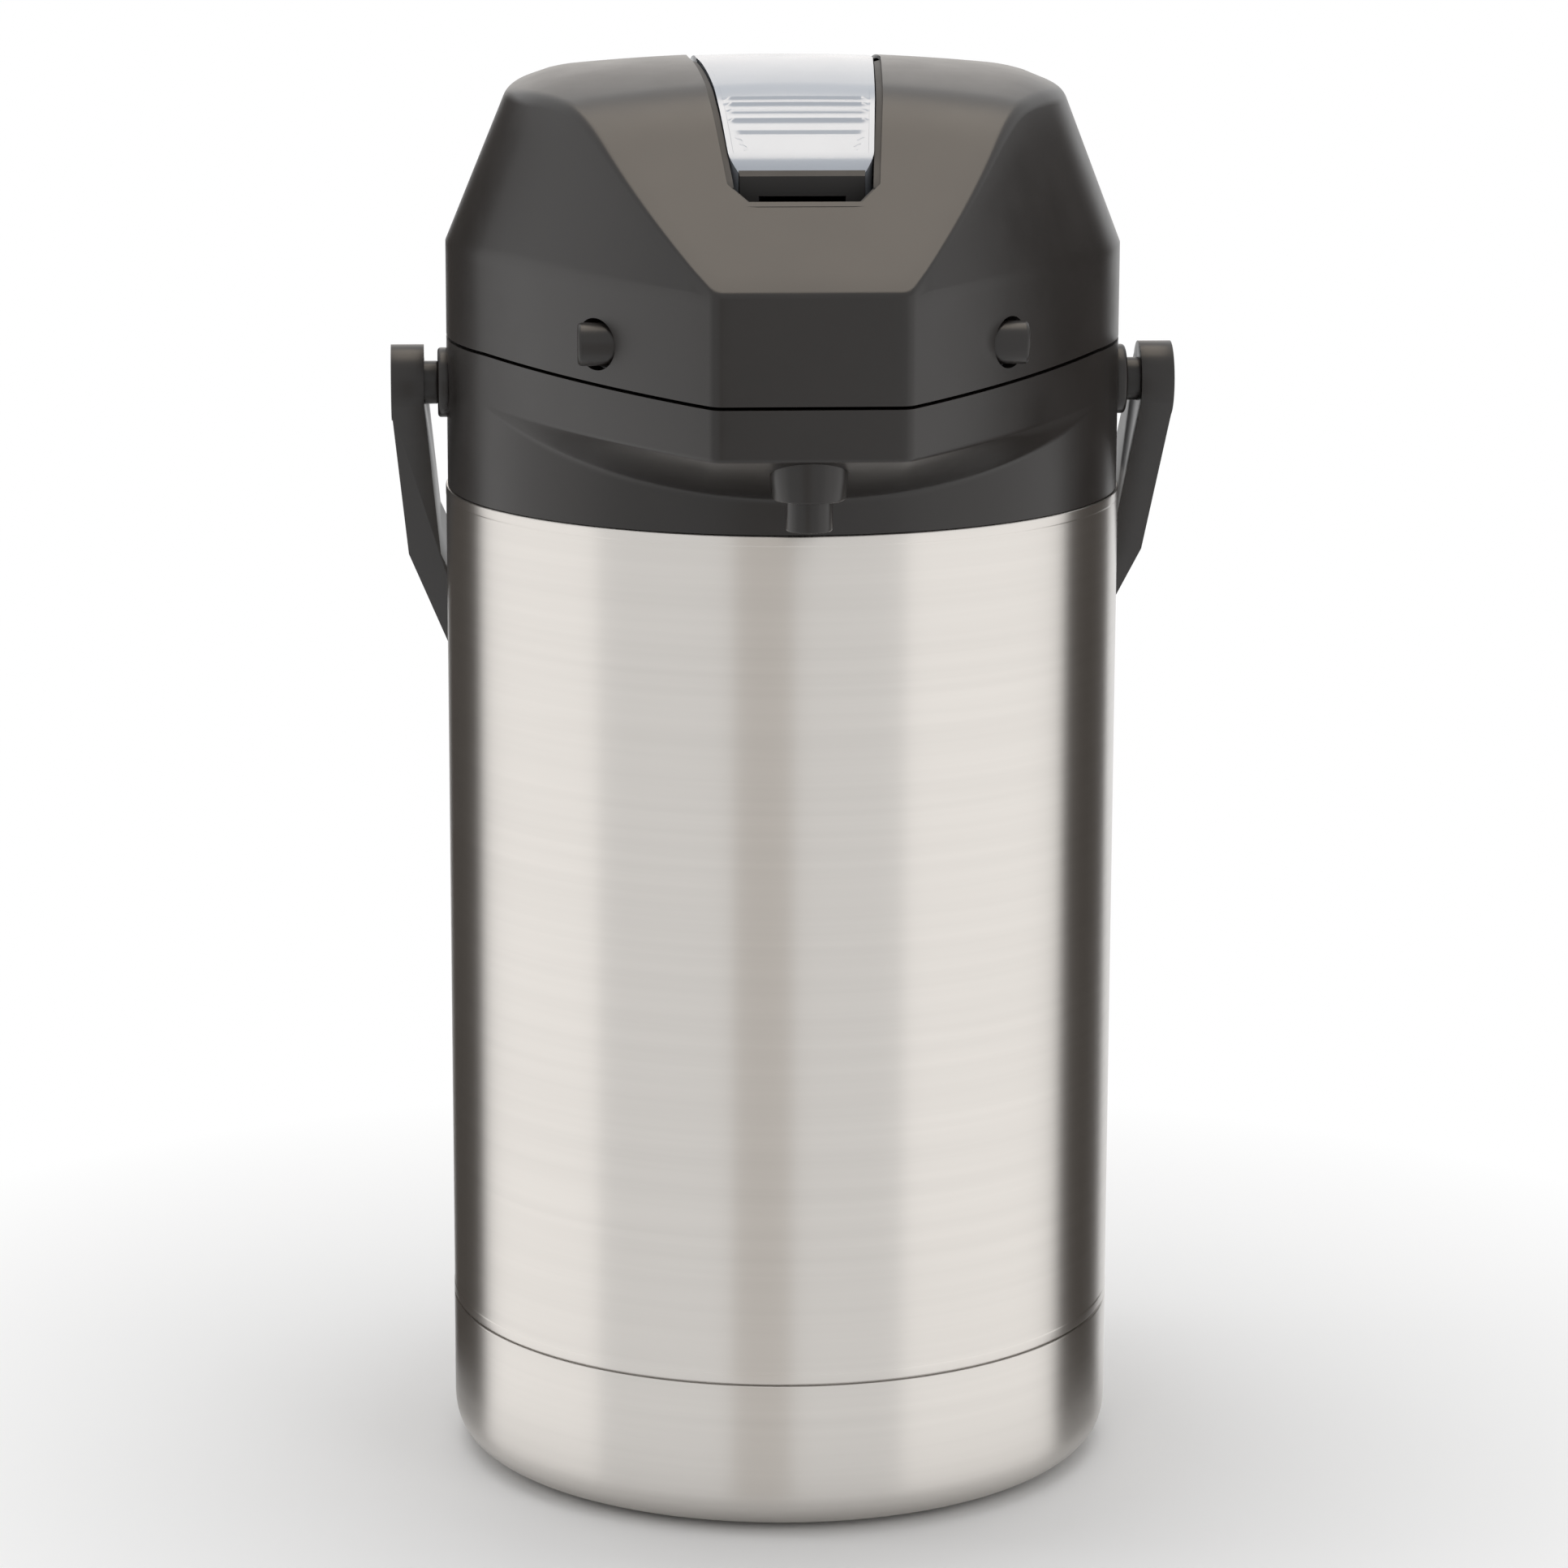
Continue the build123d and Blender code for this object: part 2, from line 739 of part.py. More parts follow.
with BuildPart() as pump_base:
    extrude(plan_outline(Plane.XY.offset(floor_bottom), head_wall + 0.1), amount=floor_thickness)
    add(ring(pump_cup_radius, 0, pump_cup_bottom, floor_bottom))
    add(
        ring(
            mouth_radius + mouth_wall,
            0,
            mouth_top + body_clearance + seal_height,
            mouth_top + body_clearance + seal_height + 2.5,
        )
    )
    add(
        ring(pump_cup_radius - pump_cup_wall, 0, pump_cup_bottom + pump_cup_wall, floor_bottom + 9),
        mode=Mode.SUBTRACT,
    )
    add(ring(cup_hole, 0, pump_cup_bottom - 1, floor_bottom), mode=Mode.SUBTRACT)
    for side in (1, -1):
        low_x, high_x = sorted((side * (hook_inner - 6), side * bracket_inner))
        slot_y = (button_y - hook_half_width - 0.5, button_y + hook_half_width + 0.5)
        add(block((low_x, high_x), slot_y, (floor_bottom - 1, floor_bottom + 5)), mode=Mode.SUBTRACT)
        low_x, high_x = sorted((side * bracket_inner, side * (bracket_inner + bracket_thickness)))
        bracket_z = (floor_bottom + floor_thickness, button_z + 8)
        add(block((low_x, high_x), (button_y - 7, button_y + 7), bracket_z))
        add(
            tube_x(low_x, high_x, button_place, button_radius + running_clearance),
            mode=Mode.SUBTRACT,
        )
write(pump_base.part, "pump_base")

seal_bottom = mouth_top + body_clearance
write(ring(mouth_radius + mouth_wall, pump_cup_radius, seal_bottom, seal_bottom + seal_height), "lid_seal")

with BuildPart() as check_valve:
    add(ring(cup_hole - slip_clearance, 0, pump_cup_bottom + 0.5, pump_cup_bottom + pump_cup_wall))
    add(ring(cup_hole + 3, 0, pump_cup_bottom + pump_cup_wall, pump_cup_bottom + pump_cup_wall + 1.2))
write(check_valve.part, "check_valve")

bellows_foot = floor_bottom + floor_thickness
bellows_head = plate_bottom - body_clearance
fold_rise = (bellows_head - bellows_foot) / (2 * bellows_folds)
ridge_line = [
    (bellows_radius - bellows_fold * (step % 2), bellows_foot + step * fold_rise)
    for step in range(2 * bellows_folds + 1)
]
bellows_profile = ridge_line + [(radius - bellows_wall, z) for radius, z in reversed(ridge_line)]
write(revolve_profile(bellows_profile), "bellows")

spring_foot = pump_cup_bottom + pump_cup_wall + spring_wire + 0.2
spring_rise = bellows_head - spring_wire - 0.2 - spring_foot
with BuildPart() as return_spring:
    with BuildLine() as coil:
        Helix(pitch=spring_pitch, height=spring_rise, radius=spring_radius, center=(0, 0, spring_foot))
    with BuildSketch(Plane(coil.line @ 0, z_dir=coil.line % 0)):
        Circle(spring_wire)
    sweep()
write(return_spring.part, "return_spring")
coil_points = [coil.line @ (step / 400) for step in range(401)]
turn_steps = round(400 * spring_pitch / spring_rise)
least_gap = min(
    (coil_points[step + turn_steps] - coil_points[step]).length for step in range(401 - turn_steps)
)
print("return spring least gap", round(least_gap - 2 * spring_wire, 2))

with BuildPart() as pump_screws:
    for screw_x, screw_y in screw_places:
        with Locations((screw_x, screw_y, bellows_foot), (-screw_x, screw_y, bellows_foot)):
            Cylinder(screw_radius, screw_head, align=(Align.CENTER, Align.CENTER, Align.MIN))
write(pump_screws.part, "pump_screws")

write(tube_x(-pivot_half, pivot_half, lever_pivot, lever_pin_radius), "lever_pin")

# Lever: the bright cover, the frame inside it and the roller that bears on the push plate


def lever_plan(inset):
    """The lever's outline as a prism: the notch's, drawn in by the gap at the sides."""
    grow = -lever_gap - inset
    front = lever_front + grow
    rear = lever_rear - grow
    return notch_plan(tall, tall * 2, grow=grow, front=front, rear=rear, blunt=False)


lever_face = lid_form(lever_sink, 5.0)
lever_under = lid_form(lever_sink + lever_skin, 5.0)
lever_deep = lid_form(lever_sink + lever_depth, 5.0)

with BuildPart() as lever_hollow:
    add(lever_under)
    add(lever_plan(lever_skin), mode=Mode.INTERSECT)

with BuildPart() as lever_cover:
    add(lever_face)
    add(lever_plan(0), mode=Mode.INTERSECT)
    add(lever_deep, mode=Mode.SUBTRACT)
    add(lever_hollow.part, mode=Mode.SUBTRACT)
write(lever_cover.part, "lever_cover")

arm_top = lever_pivot[1] + 9.0
with BuildPart() as lever_frame:
    add(lever_under)
    add(lever_plan(lever_skin), mode=Mode.INTERSECT)
    add(lid_form(lever_sink + lever_depth - 1, 5.0), mode=Mode.SUBTRACT)
    barrel_half = notch_half_width - lever_gap - lever_skin - 0.1
    add(tube_x(-barrel_half, barrel_half, lever_pivot, lever_barrel))
    add(
        block(
            (-barrel_half, barrel_half),
            (lever_pivot[0] - 4, lever_pivot[0] + 4),
            (lever_pivot[1], lever_pivot[1] + 9),
        )
    )
    roller_z = plate_bottom + plate_thickness + 3.5 + roller_radius
    roller_place = (0.0, roller_z)
    for side in (1, -1):
        low_x, high_x = sorted((side * roller_half, side * (roller_half + 3)))
        add(block((low_x, high_x), (-5, 5), (roller_z - 3, roller_z + 20)))
    add(tube_x(-barrel_half, barrel_half, roller_place, 1.5), mode=Mode.SUBTRACT)
    add(
        tube_x(-barrel_half, barrel_half, lever_pivot, lever_pin_radius + running_clearance),
        mode=Mode.SUBTRACT,
    )
write(lever_frame.part, "lever_frame")

with BuildPart() as lever_roller:
    add(tube_x(-roller_half + 0.2, roller_half - 0.2, roller_place, roller_radius))
    add(tube_x(-roller_half - 3, roller_half + 3, roller_place, 1.5))
write(lever_roller.part, "lever_roller")

# Push plate

with BuildPart() as push_plate:
    add(ring(plate_radius, 0, plate_bottom, plate_bottom + plate_thickness))
    boss_top = roller_z - roller_radius - body_clearance
    add(ring(boss_radius, 0, plate_bottom, boss_top))
    add(ring(spring_radius - 3, spring_radius - 5, plate_bottom - 6, plate_bottom))
write(push_plate.part, "push_plate")

# Latch buttons with their hooks

for side, name in ((-1, "latch_button_left"), (1, "latch_button_right")):
    with BuildPart() as button:
        low_x, high_x = sorted((side * hook_inner, side * button_end))
        add(tube_x(low_x, high_x, button_place, button_radius))
        low_x, high_x = sorted((side * hook_inner, side * (hook_inner + hook_thickness)))
        hook_y = (button_y - hook_half_width, button_y + hook_half_width)
        add(block((low_x, high_x), hook_y, (hook_bottom, button_z)))
        low_x, high_x = sorted((side * hook_inner, side * (keeper_x - body_clearance)))
        add(block((low_x, high_x), hook_y, (hook_bottom, hook_bottom + 3)))
    write(button.part, name)
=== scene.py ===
"""Dresses a packed lever airpot: steel body, black head, bright push lever and bail handle."""

from math import atan2, cos, hypot, pi, radians, sin, sqrt

import bmesh
import bpy
from bpy.props import FloatProperty, FloatVectorProperty, PointerProperty
from mathutils import Matrix, Vector


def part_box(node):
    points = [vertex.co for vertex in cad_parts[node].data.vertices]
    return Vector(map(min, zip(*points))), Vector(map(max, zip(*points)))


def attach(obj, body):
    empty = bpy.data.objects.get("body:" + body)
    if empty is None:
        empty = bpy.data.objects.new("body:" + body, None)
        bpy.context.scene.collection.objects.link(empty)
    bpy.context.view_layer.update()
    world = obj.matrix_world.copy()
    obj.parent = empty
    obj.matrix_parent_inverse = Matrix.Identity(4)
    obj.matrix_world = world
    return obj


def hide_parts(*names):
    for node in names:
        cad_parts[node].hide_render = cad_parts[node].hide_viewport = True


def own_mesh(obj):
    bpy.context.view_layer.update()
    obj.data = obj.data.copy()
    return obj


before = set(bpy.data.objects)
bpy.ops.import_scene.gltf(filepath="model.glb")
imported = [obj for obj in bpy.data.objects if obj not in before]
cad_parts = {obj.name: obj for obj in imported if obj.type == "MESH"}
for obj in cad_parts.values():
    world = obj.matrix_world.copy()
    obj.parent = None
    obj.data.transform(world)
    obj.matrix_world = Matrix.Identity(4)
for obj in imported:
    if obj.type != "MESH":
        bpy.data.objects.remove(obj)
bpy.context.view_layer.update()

bl_info = {
    "name": "Lever airpot",
    "version": (1, 0, 0),
    "blender": (4, 5, 0),
    "location": "3D View > Sidebar > Airpot",
    "description": "Dresses the lever airpot's frame and sets its stage",
    "category": "Object",
}

MM = 0.001

# Places that the frame's boxes give

shell_low, shell_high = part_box("outer_shell")
cup_low, cup_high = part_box("base_cup")
BODY_RADIUS = shell_high.x

# The head's outline, in millimetres, as the frame has it

HEAD_RADIUS = 82.0
FRONT_HALF = 22.0
FRONT_Y = -112.5
TIP = (72.801, -37.736)
PANEL_BULGE = 3.0
CORNER = 4.5
CREASE_Z = 303.5
TOP_Z = 350.0
TOP_FRONT = (17.5, -94.5)
TOP_TIP = (57.3, -35.74)
TOP_BULGE = 2.4
TOP_REAR = 54.1
CROWN_Z = 348.4
CROWN_Y = -5.0
CROWN_RADIUS = 190.0
CROWN_SIDEWAYS = 540.0
ROLL_X = 50.0
ROLL_RADIUS = 41.9
SLOPE_RISE = 0.634
SPLIT_SIDE = 280.2
SPLIT_FRONT = 277.5
SPLIT_GAP = 0.8
RIDGE_FRONT = 265.8
RIDGE_TIP = 268.3
ROOT_Z = 252.5
ROOT_SLOPE = 0.353
NOTCH_FRONT_Y = -84.5
NOTCH_REAR_Y = 56.0
PIT_REAR_Y = -47.0

# The small pieces' places, in millimetres, as the frame has them

SPOUT_XY = (0, -102)
SPOUT_RADIUS = 8.9
BUTTON_YZ = (-80, 288.4)
HINGE_YZ = (88, 281)
EAR_HALF = 17.5
PIVOT_YZ = (0, 268.8)
LEVER_REAR_Y = 54.0
LEVER_NOSE_Y = -68.4
LEVER_TIP_Y = -74.0

# How finely the pieces are made

FRONT_STEPS, CORNER_STEPS, PANEL_STEPS, ROUND_STEPS = 10, 6, 40, 64
CORNER_AIM, CORNER_PASSED = 12, 3
CAP_STEPS = 27
BAR_SEGMENTS = 64
STEEL_STEPS = 256
SMOOTH = 32.0
HEAD_SMOOTH = 40


class AirpotSizes(bpy.types.PropertyGroup):
    """Sizes of the finish that a user may change."""

    rim: FloatProperty(
        name="Steel rim",
        description="Height of the rolled rim at each end of the steel body",
        default=2.2 * MM,
        unit="LENGTH",
    )
    rib: FloatProperty(
        name="Grip rib",
        description="Height of the ribs across the lever's thumb slope",
        default=0.75 * MM,
        unit="LENGTH",
    )


class AirpotColours(bpy.types.PropertyGroup):
    """Colours of the finish that a user may change."""

    steel: FloatVectorProperty(
        name="Steel",
        description="Brushed steel of the body",
        subtype="COLOR",
        size=4,
        default=(0.62, 0.595, 0.565, 1),
    )
    black: FloatVectorProperty(
        name="Black moulding",
        description="Satin black plastic of the head and the handle",
        subtype="COLOR",
        size=4,
        default=(0.0125, 0.0105, 0.0095, 1),
    )
    chrome: FloatVectorProperty(
        name="Lever chrome",
        description="Bright plating of the push lever",
        subtype="COLOR",
        size=4,
        default=(0.46, 0.49, 0.54, 1),
    )
    silicone: FloatVectorProperty(
        name="Silicone",
        description="Seals, valve and bellows",
        subtype="COLOR",
        size=4,
        default=(0.55, 0.54, 0.5, 1),
    )


def sizes():
    return bpy.context.scene.airpot_sizes


def colours():
    return bpy.context.scene.airpot_colours


# Shader groups


def group_tree(name, inputs):
    """A new effect group, with inputs given as (name, kind, default) rows."""
    tree = bpy.data.node_groups.new(name, "ShaderNodeTree")
    for label, kind, default in inputs:
        socket = tree.interface.new_socket(label, in_out="INPUT", socket_type=kind)
        socket.default_value = default
    for label, kind in (("Color", "Color"), ("Roughness", "Float"), ("Height", "Float")):
        tree.interface.new_socket(label, in_out="OUTPUT", socket_type=f"NodeSocket{kind}")
    return tree, tree.nodes.new("NodeGroupInput"), tree.nodes.new("NodeGroupOutput")


def object_coordinates(tree, scale):
    """Object coordinates stretched by scale, one factor for each axis."""
    place = tree.nodes.new("ShaderNodeTexCoord")
    mapping = tree.nodes.new("ShaderNodeMapping")
    mapping.inputs["Scale"].default_value = scale
    tree.links.new(place.outputs["Object"], mapping.inputs["Vector"])
    return mapping.outputs["Vector"]


def noise(tree, vector, scale, detail=3.0, roughness=0.5):
    """A noise texture's value on a vector."""
    node = tree.nodes.new("ShaderNodeTexNoise")
    node.inputs["Scale"].default_value = scale
    node.inputs["Detail"].default_value = detail
    node.inputs["Roughness"].default_value = roughness
    tree.links.new(vector, node.inputs["Vector"])
    return node.outputs["Fac"]


def feed(tree, target, value):
    """Gives an input its value, as a link from a socket or as a plain default."""
    if isinstance(value, bpy.types.NodeSocket):
        tree.links.new(value, target)
    else:
        target.default_value = value


def ranged(tree, value, low, high, start=0.25, stop=0.75):
    """A value between start and stop spread from low to high, which may be sockets."""
    node = tree.nodes.new("ShaderNodeMapRange")
    feed(tree, node.inputs["Value"], value)
    feed(tree, node.inputs["From Min"], start)
    feed(tree, node.inputs["From Max"], stop)
    feed(tree, node.inputs["To Min"], low)
    feed(tree, node.inputs["To Max"], high)
    return node.outputs["Result"]


def combined(tree, operation, first, second):
    """The result of a Math node on two values, each a socket or a number."""
    node = tree.nodes.new("ShaderNodeMath")
    node.operation = operation
    feed(tree, node.inputs[0], first)
    feed(tree, node.inputs[1], second)
    return node.outputs[0]


def mixed(tree, factor, first, second):
    """The colour between two colours, each a socket or a tuple."""
    node = tree.nodes.new("ShaderNodeMix")
    node.data_type = "RGBA"
    feed(tree, node.inputs["Factor"], factor)
    feed(tree, node.inputs[6], first)
    feed(tree, node.inputs[7], second)
    return node.outputs[2]


def brushed_group():
    """Fine lines brushed round an upright body: a tint, a roughness and a height."""
    inputs = (
        ("Tint", "NodeSocketColor", (0.6, 0.6, 0.6, 1)),
        ("Shade", "NodeSocketColor", (0.5, 0.5, 0.5, 1)),
        ("Rough Low", "NodeSocketFloat", 0.2),
        ("Rough High", "NodeSocketFloat", 0.4),
    )
    tree, given, result = group_tree("brushed_round", inputs)
    lines = noise(tree, object_coordinates(tree, (14, 14, 2600)), 1.0, 4.0, 0.6)
    streaks = noise(tree, object_coordinates(tree, (5, 5, 420)), 1.0, 3.0)
    clouds = noise(tree, object_coordinates(tree, (9, 9, 9)), 1.0, 2.0)
    share = ranged(tree, streaks, 0.0, 1.0)
    colour = mixed(tree, share, given.outputs["Tint"], given.outputs["Shade"])
    tree.links.new(colour, result.inputs["Color"])
    half = combined(tree, "MULTIPLY", combined(tree, "ADD", lines, clouds), 0.5)
    rough = ranged(tree, half, given.outputs["Rough Low"], given.outputs["Rough High"])
    tree.links.new(rough, result.inputs["Roughness"])
    tree.links.new(lines, result.inputs["Height"])
    return tree


def moulded_group():
    """A fine moulded grain with faint handling marks: a colour, a roughness and a height."""
    inputs = (
        ("Tint", "NodeSocketColor", (0.02, 0.02, 0.02, 1)),
        ("Worn", "NodeSocketColor", (0.03, 0.03, 0.03, 1)),
        ("Rough Low", "NodeSocketFloat", 0.3),
        ("Rough High", "NodeSocketFloat", 0.45),
    )
    tree, given, result = group_tree("moulded_grain", inputs)
    grain = noise(tree, object_coordinates(tree, (1, 1, 1)), 2600.0, 2.0)
    marks = noise(tree, object_coordinates(tree, (1, 1, 1)), 38.0, 5.0, 0.62)
    share = ranged(tree, marks, 0.0, 1.0)
    colour = mixed(tree, share, given.outputs["Tint"], given.outputs["Worn"])
    tree.links.new(colour, result.inputs["Color"])
    rough = ranged(tree, marks, given.outputs["Rough Low"], given.outputs["Rough High"])
    tree.links.new(rough, result.inputs["Roughness"])
    tree.links.new(grain, result.inputs["Height"])
    return tree


def finish_material(name, group, values, bump, metallic=0.0, **sockets):
    """A Principled material fed by an effect group, with a bump of the given depth in metres."""
    material = bpy.data.materials.new(name)
    material.use_nodes = True
    tree = material.node_tree
    shader = tree.nodes["Principled BSDF"]
    effect = tree.nodes.new("ShaderNodeGroup")
    effect.node_tree = group
    for label, value in values.items():
        effect.inputs[label].default_value = value
    tree.links.new(effect.outputs["Color"], shader.inputs["Base Color"])
    tree.links.new(effect.outputs["Roughness"], shader.inputs["Roughness"])
    relief = tree.nodes.new("ShaderNodeBump")
    relief.inputs["Distance"].default_value = bump
    relief.inputs["Strength"].default_value = 1.0
    tree.links.new(effect.outputs["Height"], relief.inputs["Height"])
    tree.links.new(relief.outputs["Normal"], shader.inputs["Normal"])
    shader.inputs["Metallic"].default_value = metallic
    for label, value in sockets.items():
        shader.inputs[label.replace("_", " ")].default_value = value
    return material


def scaled(colour, factor):
    return (colour[0] * factor, colour[1] * factor, colour[2] * factor, 1)


def make_materials():
    """Every finish of the airpot, by name."""
    brushed = brushed_group()
    grain = moulded_group()
    tone = colours()
    steel, black = tuple(tone.steel), tuple(tone.black)
    chrome, silicone = tuple(tone.chrome), tuple(tone.silicone)

    def metal(name, tint, shade, low, high, bump, anisotropy=0.0):
        values = {"Tint": tint, "Shade": shade, "Rough Low": low, "Rough High": high}
        material = finish_material(name, brushed, values, bump, metallic=1.0)
        shader = material.node_tree.nodes["Principled BSDF"]
        shader.inputs["Anisotropic"].default_value = anisotropy
        shader.inputs["Anisotropic Rotation"].default_value = 0.25
        tangent = material.node_tree.nodes.new("ShaderNodeTangent")
        tangent.direction_type = "RADIAL"
        tangent.axis = "Z"
        material.node_tree.links.new(tangent.outputs["Tangent"], shader.inputs["Tangent"])
        return material

    def plastic(name, tint, worn, low, high, bump, **sockets):
        values = {"Tint": tint, "Worn": worn, "Rough Low": low, "Rough High": high}
        return finish_material(name, grain, values, bump, **sockets)

    # Two tints, the lowest and highest roughness, and the depth of the grain in metres
    return {
        "steel": metal("steel_brushed", steel, scaled(steel, 0.95), 0.27, 0.35, 4e-6, 0.9),
        "liner": metal("steel_liner", scaled(steel, 0.9), scaled(steel, 0.8), 0.25, 0.4, 1e-5),
        "pin": metal("steel_pin", scaled(steel, 0.95), scaled(steel, 0.8), 0.2, 0.35, 8e-6),
        "black": plastic(
            "black_moulding", black, scaled(black, 1.4), 0.27, 0.36, 5e-6, Specular_IOR_Level=0.42
        ),
        # The dark moulding is the black moulding darkened to 0.55: painted shade for the recessed
        # and inner pieces
        "dark": plastic("black_moulding_painted_shade", scaled(black, 0.55), scaled(black, 0.8), 0.5, 0.62, 1e-5),
        "grey": plastic(
            "grey_moulding", (0.06, 0.06, 0.062, 1), (0.08, 0.08, 0.08, 1), 0.4, 0.55, 1e-5
        ),
        "chrome": plastic(
            "lever_chrome", chrome, scaled(chrome, 0.92), 0.16, 0.24, 2e-6, metallic=0.25
        ),
        "silicone": plastic("silicone", silicone, scaled(silicone, 0.85), 0.45, 0.6, 1e-5),
    }


# Mesh helpers


def mesh_object(bm, name, material, smooth_angle=SMOOTH):
    """A smooth-shaded object from a finished bmesh."""
    mesh = bpy.data.meshes.new(name)
    bm.to_mesh(mesh)
    bm.free()
    obj = bpy.data.objects.new(name, mesh)
    bpy.context.scene.collection.objects.link(obj)
    mesh.materials.append(material)
    shade(obj, smooth_angle)
    return obj


def shade(obj, angle):
    """Smooth shading that keeps edges sharper than angle."""
    obj.data.shade_smooth()
    obj.data.set_sharp_from_angle(angle=radians(angle))


def settle(obj, angle):
    """Applies an object's modifiers to its mesh."""
    graph = bpy.context.evaluated_depsgraph_get()
    mesh = bpy.data.meshes.new_from_object(obj.evaluated_get(graph))
    obj.modifiers.clear()
    old = obj.data
    obj.data = mesh
    mesh.name = obj.name
    bpy.data.meshes.remove(old)
    shade(obj, angle)


def thicken(obj, thickness, angle, offset=-1):
    """Gives a skin a wall, in millimetres: inwards, or outwards with an offset of 1."""
    modifier = obj.modifiers.new("wall", "SOLIDIFY")
    modifier.thickness = thickness * MM
    modifier.offset = offset
    settle(obj, angle)


def cut(obj, cutter, angle):
    """Takes the cutter's shape out of obj, and removes the cutter."""
    modifier = obj.modifiers.new("cut", "BOOLEAN")
    modifier.operation = "DIFFERENCE"
    modifier.solver = "EXACT"
    modifier.object = cutter
    settle(obj, angle)
    bpy.data.objects.remove(cutter)


def soften(obj, width, angle):
    """Rounds an object's sharp edges and applies the change."""
    modifier = obj.modifiers.new("edges", "BEVEL")
    modifier.width = width
    modifier.segments = 2
    modifier.limit_method = "ANGLE"
    modifier.angle_limit = radians(angle)
    modifier.harden_normals = False
    settle(obj, angle)


def dress(obj, body, *nodes):
    """Puts a finished piece on its body in place of the nodes that it stands for."""
    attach(obj, body)
    if nodes:
        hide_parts(*nodes)
    return obj


def ring_skin(rings, close_top=False):
    """A bmesh skin through rings of points of equal count, from the first ring to the last."""
    bm = bmesh.new()
    count = len(rings[0])
    made = bmesh.ops.create_circle(bm, segments=count, radius=1.0)["verts"]
    for vert, point in zip(made, rings[0]):
        vert.co = point
    loop = made
    edges = [bm.edges.get((loop[i], loop[(i + 1) % count])) for i in range(count)]
    for ring in rings[1:]:
        out = bmesh.ops.extrude_edge_only(bm, edges=edges)
        new_edges = [e for e in out["geom"] if isinstance(e, bmesh.types.BMEdge)]
        fresh = {v for v in out["geom"] if isinstance(v, bmesh.types.BMVert)}
        mapped = {}
        for vert in fresh:
            for edge in vert.link_edges:
                other = edge.other_vert(vert)
                if other not in fresh:
                    mapped[other] = vert
        loop = [mapped[v] for v in loop]
        for vert, point in zip(loop, ring):
            vert.co = point
        edges = [e for e in new_edges if e.verts[0] in fresh and e.verts[1] in fresh]
    if close_top:
        bmesh.ops.contextual_create(bm, geom=edges)
    return bm


def tidy_normals(bm):
    bmesh.ops.remove_doubles(bm, verts=bm.verts, dist=1e-6)
    bmesh.ops.recalc_face_normals(bm, faces=bm.faces)


def lathe(name, profile, material, centre=(0, 0), steps=192):
    """A piece spun about an upright axis from (radius, height) points in millimetres."""
    bm = bmesh.new()
    verts = [bm.verts.new(((centre[0] + r) * MM, centre[1] * MM, z * MM)) for r, z in profile]
    edges = [bm.edges.new(pair) for pair in zip(verts, verts[1:] + verts[:1])]
    bmesh.ops.spin(
        bm,
        geom=verts + edges,
        cent=(centre[0] * MM, centre[1] * MM, 0),
        axis=(0, 0, 1),
        angle=2 * pi,
        steps=steps,
        use_merge=True,
    )
    tidy_normals(bm)
    return mesh_object(bm, name, material, HEAD_SMOOTH)


def rounded(profile, rounds, steps=6):
    """A profile with some corners rounded, given as {index: radius}."""
    out = []
    count = len(profile)
    for i, point in enumerate(profile):
        radius = rounds.get(i)
        if not radius:
            out.append(point)
            continue
        out.extend(fillet_points(profile[i - 1], point, profile[(i + 1) % count], radius, steps))
    return out


def fillet_points(before, corner, after, radius, steps):
    """Points of the arc that rounds a corner, in two or three dimensions."""
    a, b, c = Vector(before), Vector(corner), Vector(after)
    u, v = (a - b), (c - b)
    if u.length < 1e-9 or v.length < 1e-9:
        return [tuple(b)] * (steps + 1)
    half = u.angle(v) / 2
    if half > radians(89.5):
        return [tuple(b)] * (steps + 1)
    reach = min(radius / (sin(half) / cos(half)), 0.48 * u.length, 0.48 * v.length)
    u.normalize()
    v.normalize()
    start, end = b + u * reach, b + v * reach
    points = []
    for step in range(steps + 1):
        t = step / steps
        points.append(tuple(start * (1 - t) ** 2 + b * (2 * t * (1 - t)) + end * t**2))
    return points


def arc_through(first, middle, last, count):
    """Points along the circle through three points, without the last one."""
    ax, ay = first
    bx, by = middle
    cx, cy = last
    d = 2 * (ax * (by - cy) + bx * (cy - ay) + cx * (ay - by))
    a2, b2, c2 = ax**2 + ay**2, bx**2 + by**2, cx**2 + cy**2
    ux = (a2 * (by - cy) + b2 * (cy - ay) + c2 * (ay - by)) / d
    uy = (a2 * (cx - bx) + b2 * (ax - cx) + c2 * (bx - ax)) / d
    radius = hypot(ax - ux, ay - uy)
    start, end = atan2(ay - uy, ax - ux), atan2(cy - uy, cx - ux)
    mid = atan2(by - uy, bx - ux)
    if not (start <= mid <= end):
        while end < start:
            end += 2 * pi
    angles = [start + (end - start) * i / count for i in range(count)]
    return [(ux + radius * cos(angle), uy + radius * sin(angle)) for angle in angles]


def bulged_middle(front, tip, bulge):
    """The middle of a side panel, pushed out by its bulge."""
    run = Vector((tip[0] - front[0], tip[1] - front[1]))
    normal = Vector((run.y, -run.x)).normalized() * bulge
    return ((front[0] + tip[0]) / 2 + normal.x, (front[1] + tip[1]) / 2 + normal.y)


def half_outline(front, tip, bulge, rear, corner):
    """The right half of a head outline, from the middle of the front to the middle of the rear."""
    panel = arc_through(front, bulged_middle(front, tip, bulge), tip, PANEL_STEPS)
    turn = fillet_points((0, front[1]), front, panel[CORNER_AIM], corner, CORNER_STEPS)
    points = [(turn[0][0] * i / FRONT_STEPS, front[1]) for i in range(FRONT_STEPS)]
    points += [tuple(p) for p in turn]
    points += panel[CORNER_PASSED:]
    points += arc_through(tip, circle_side(tip, rear), (0, rear), ROUND_STEPS)
    points.append((0, rear))
    return points


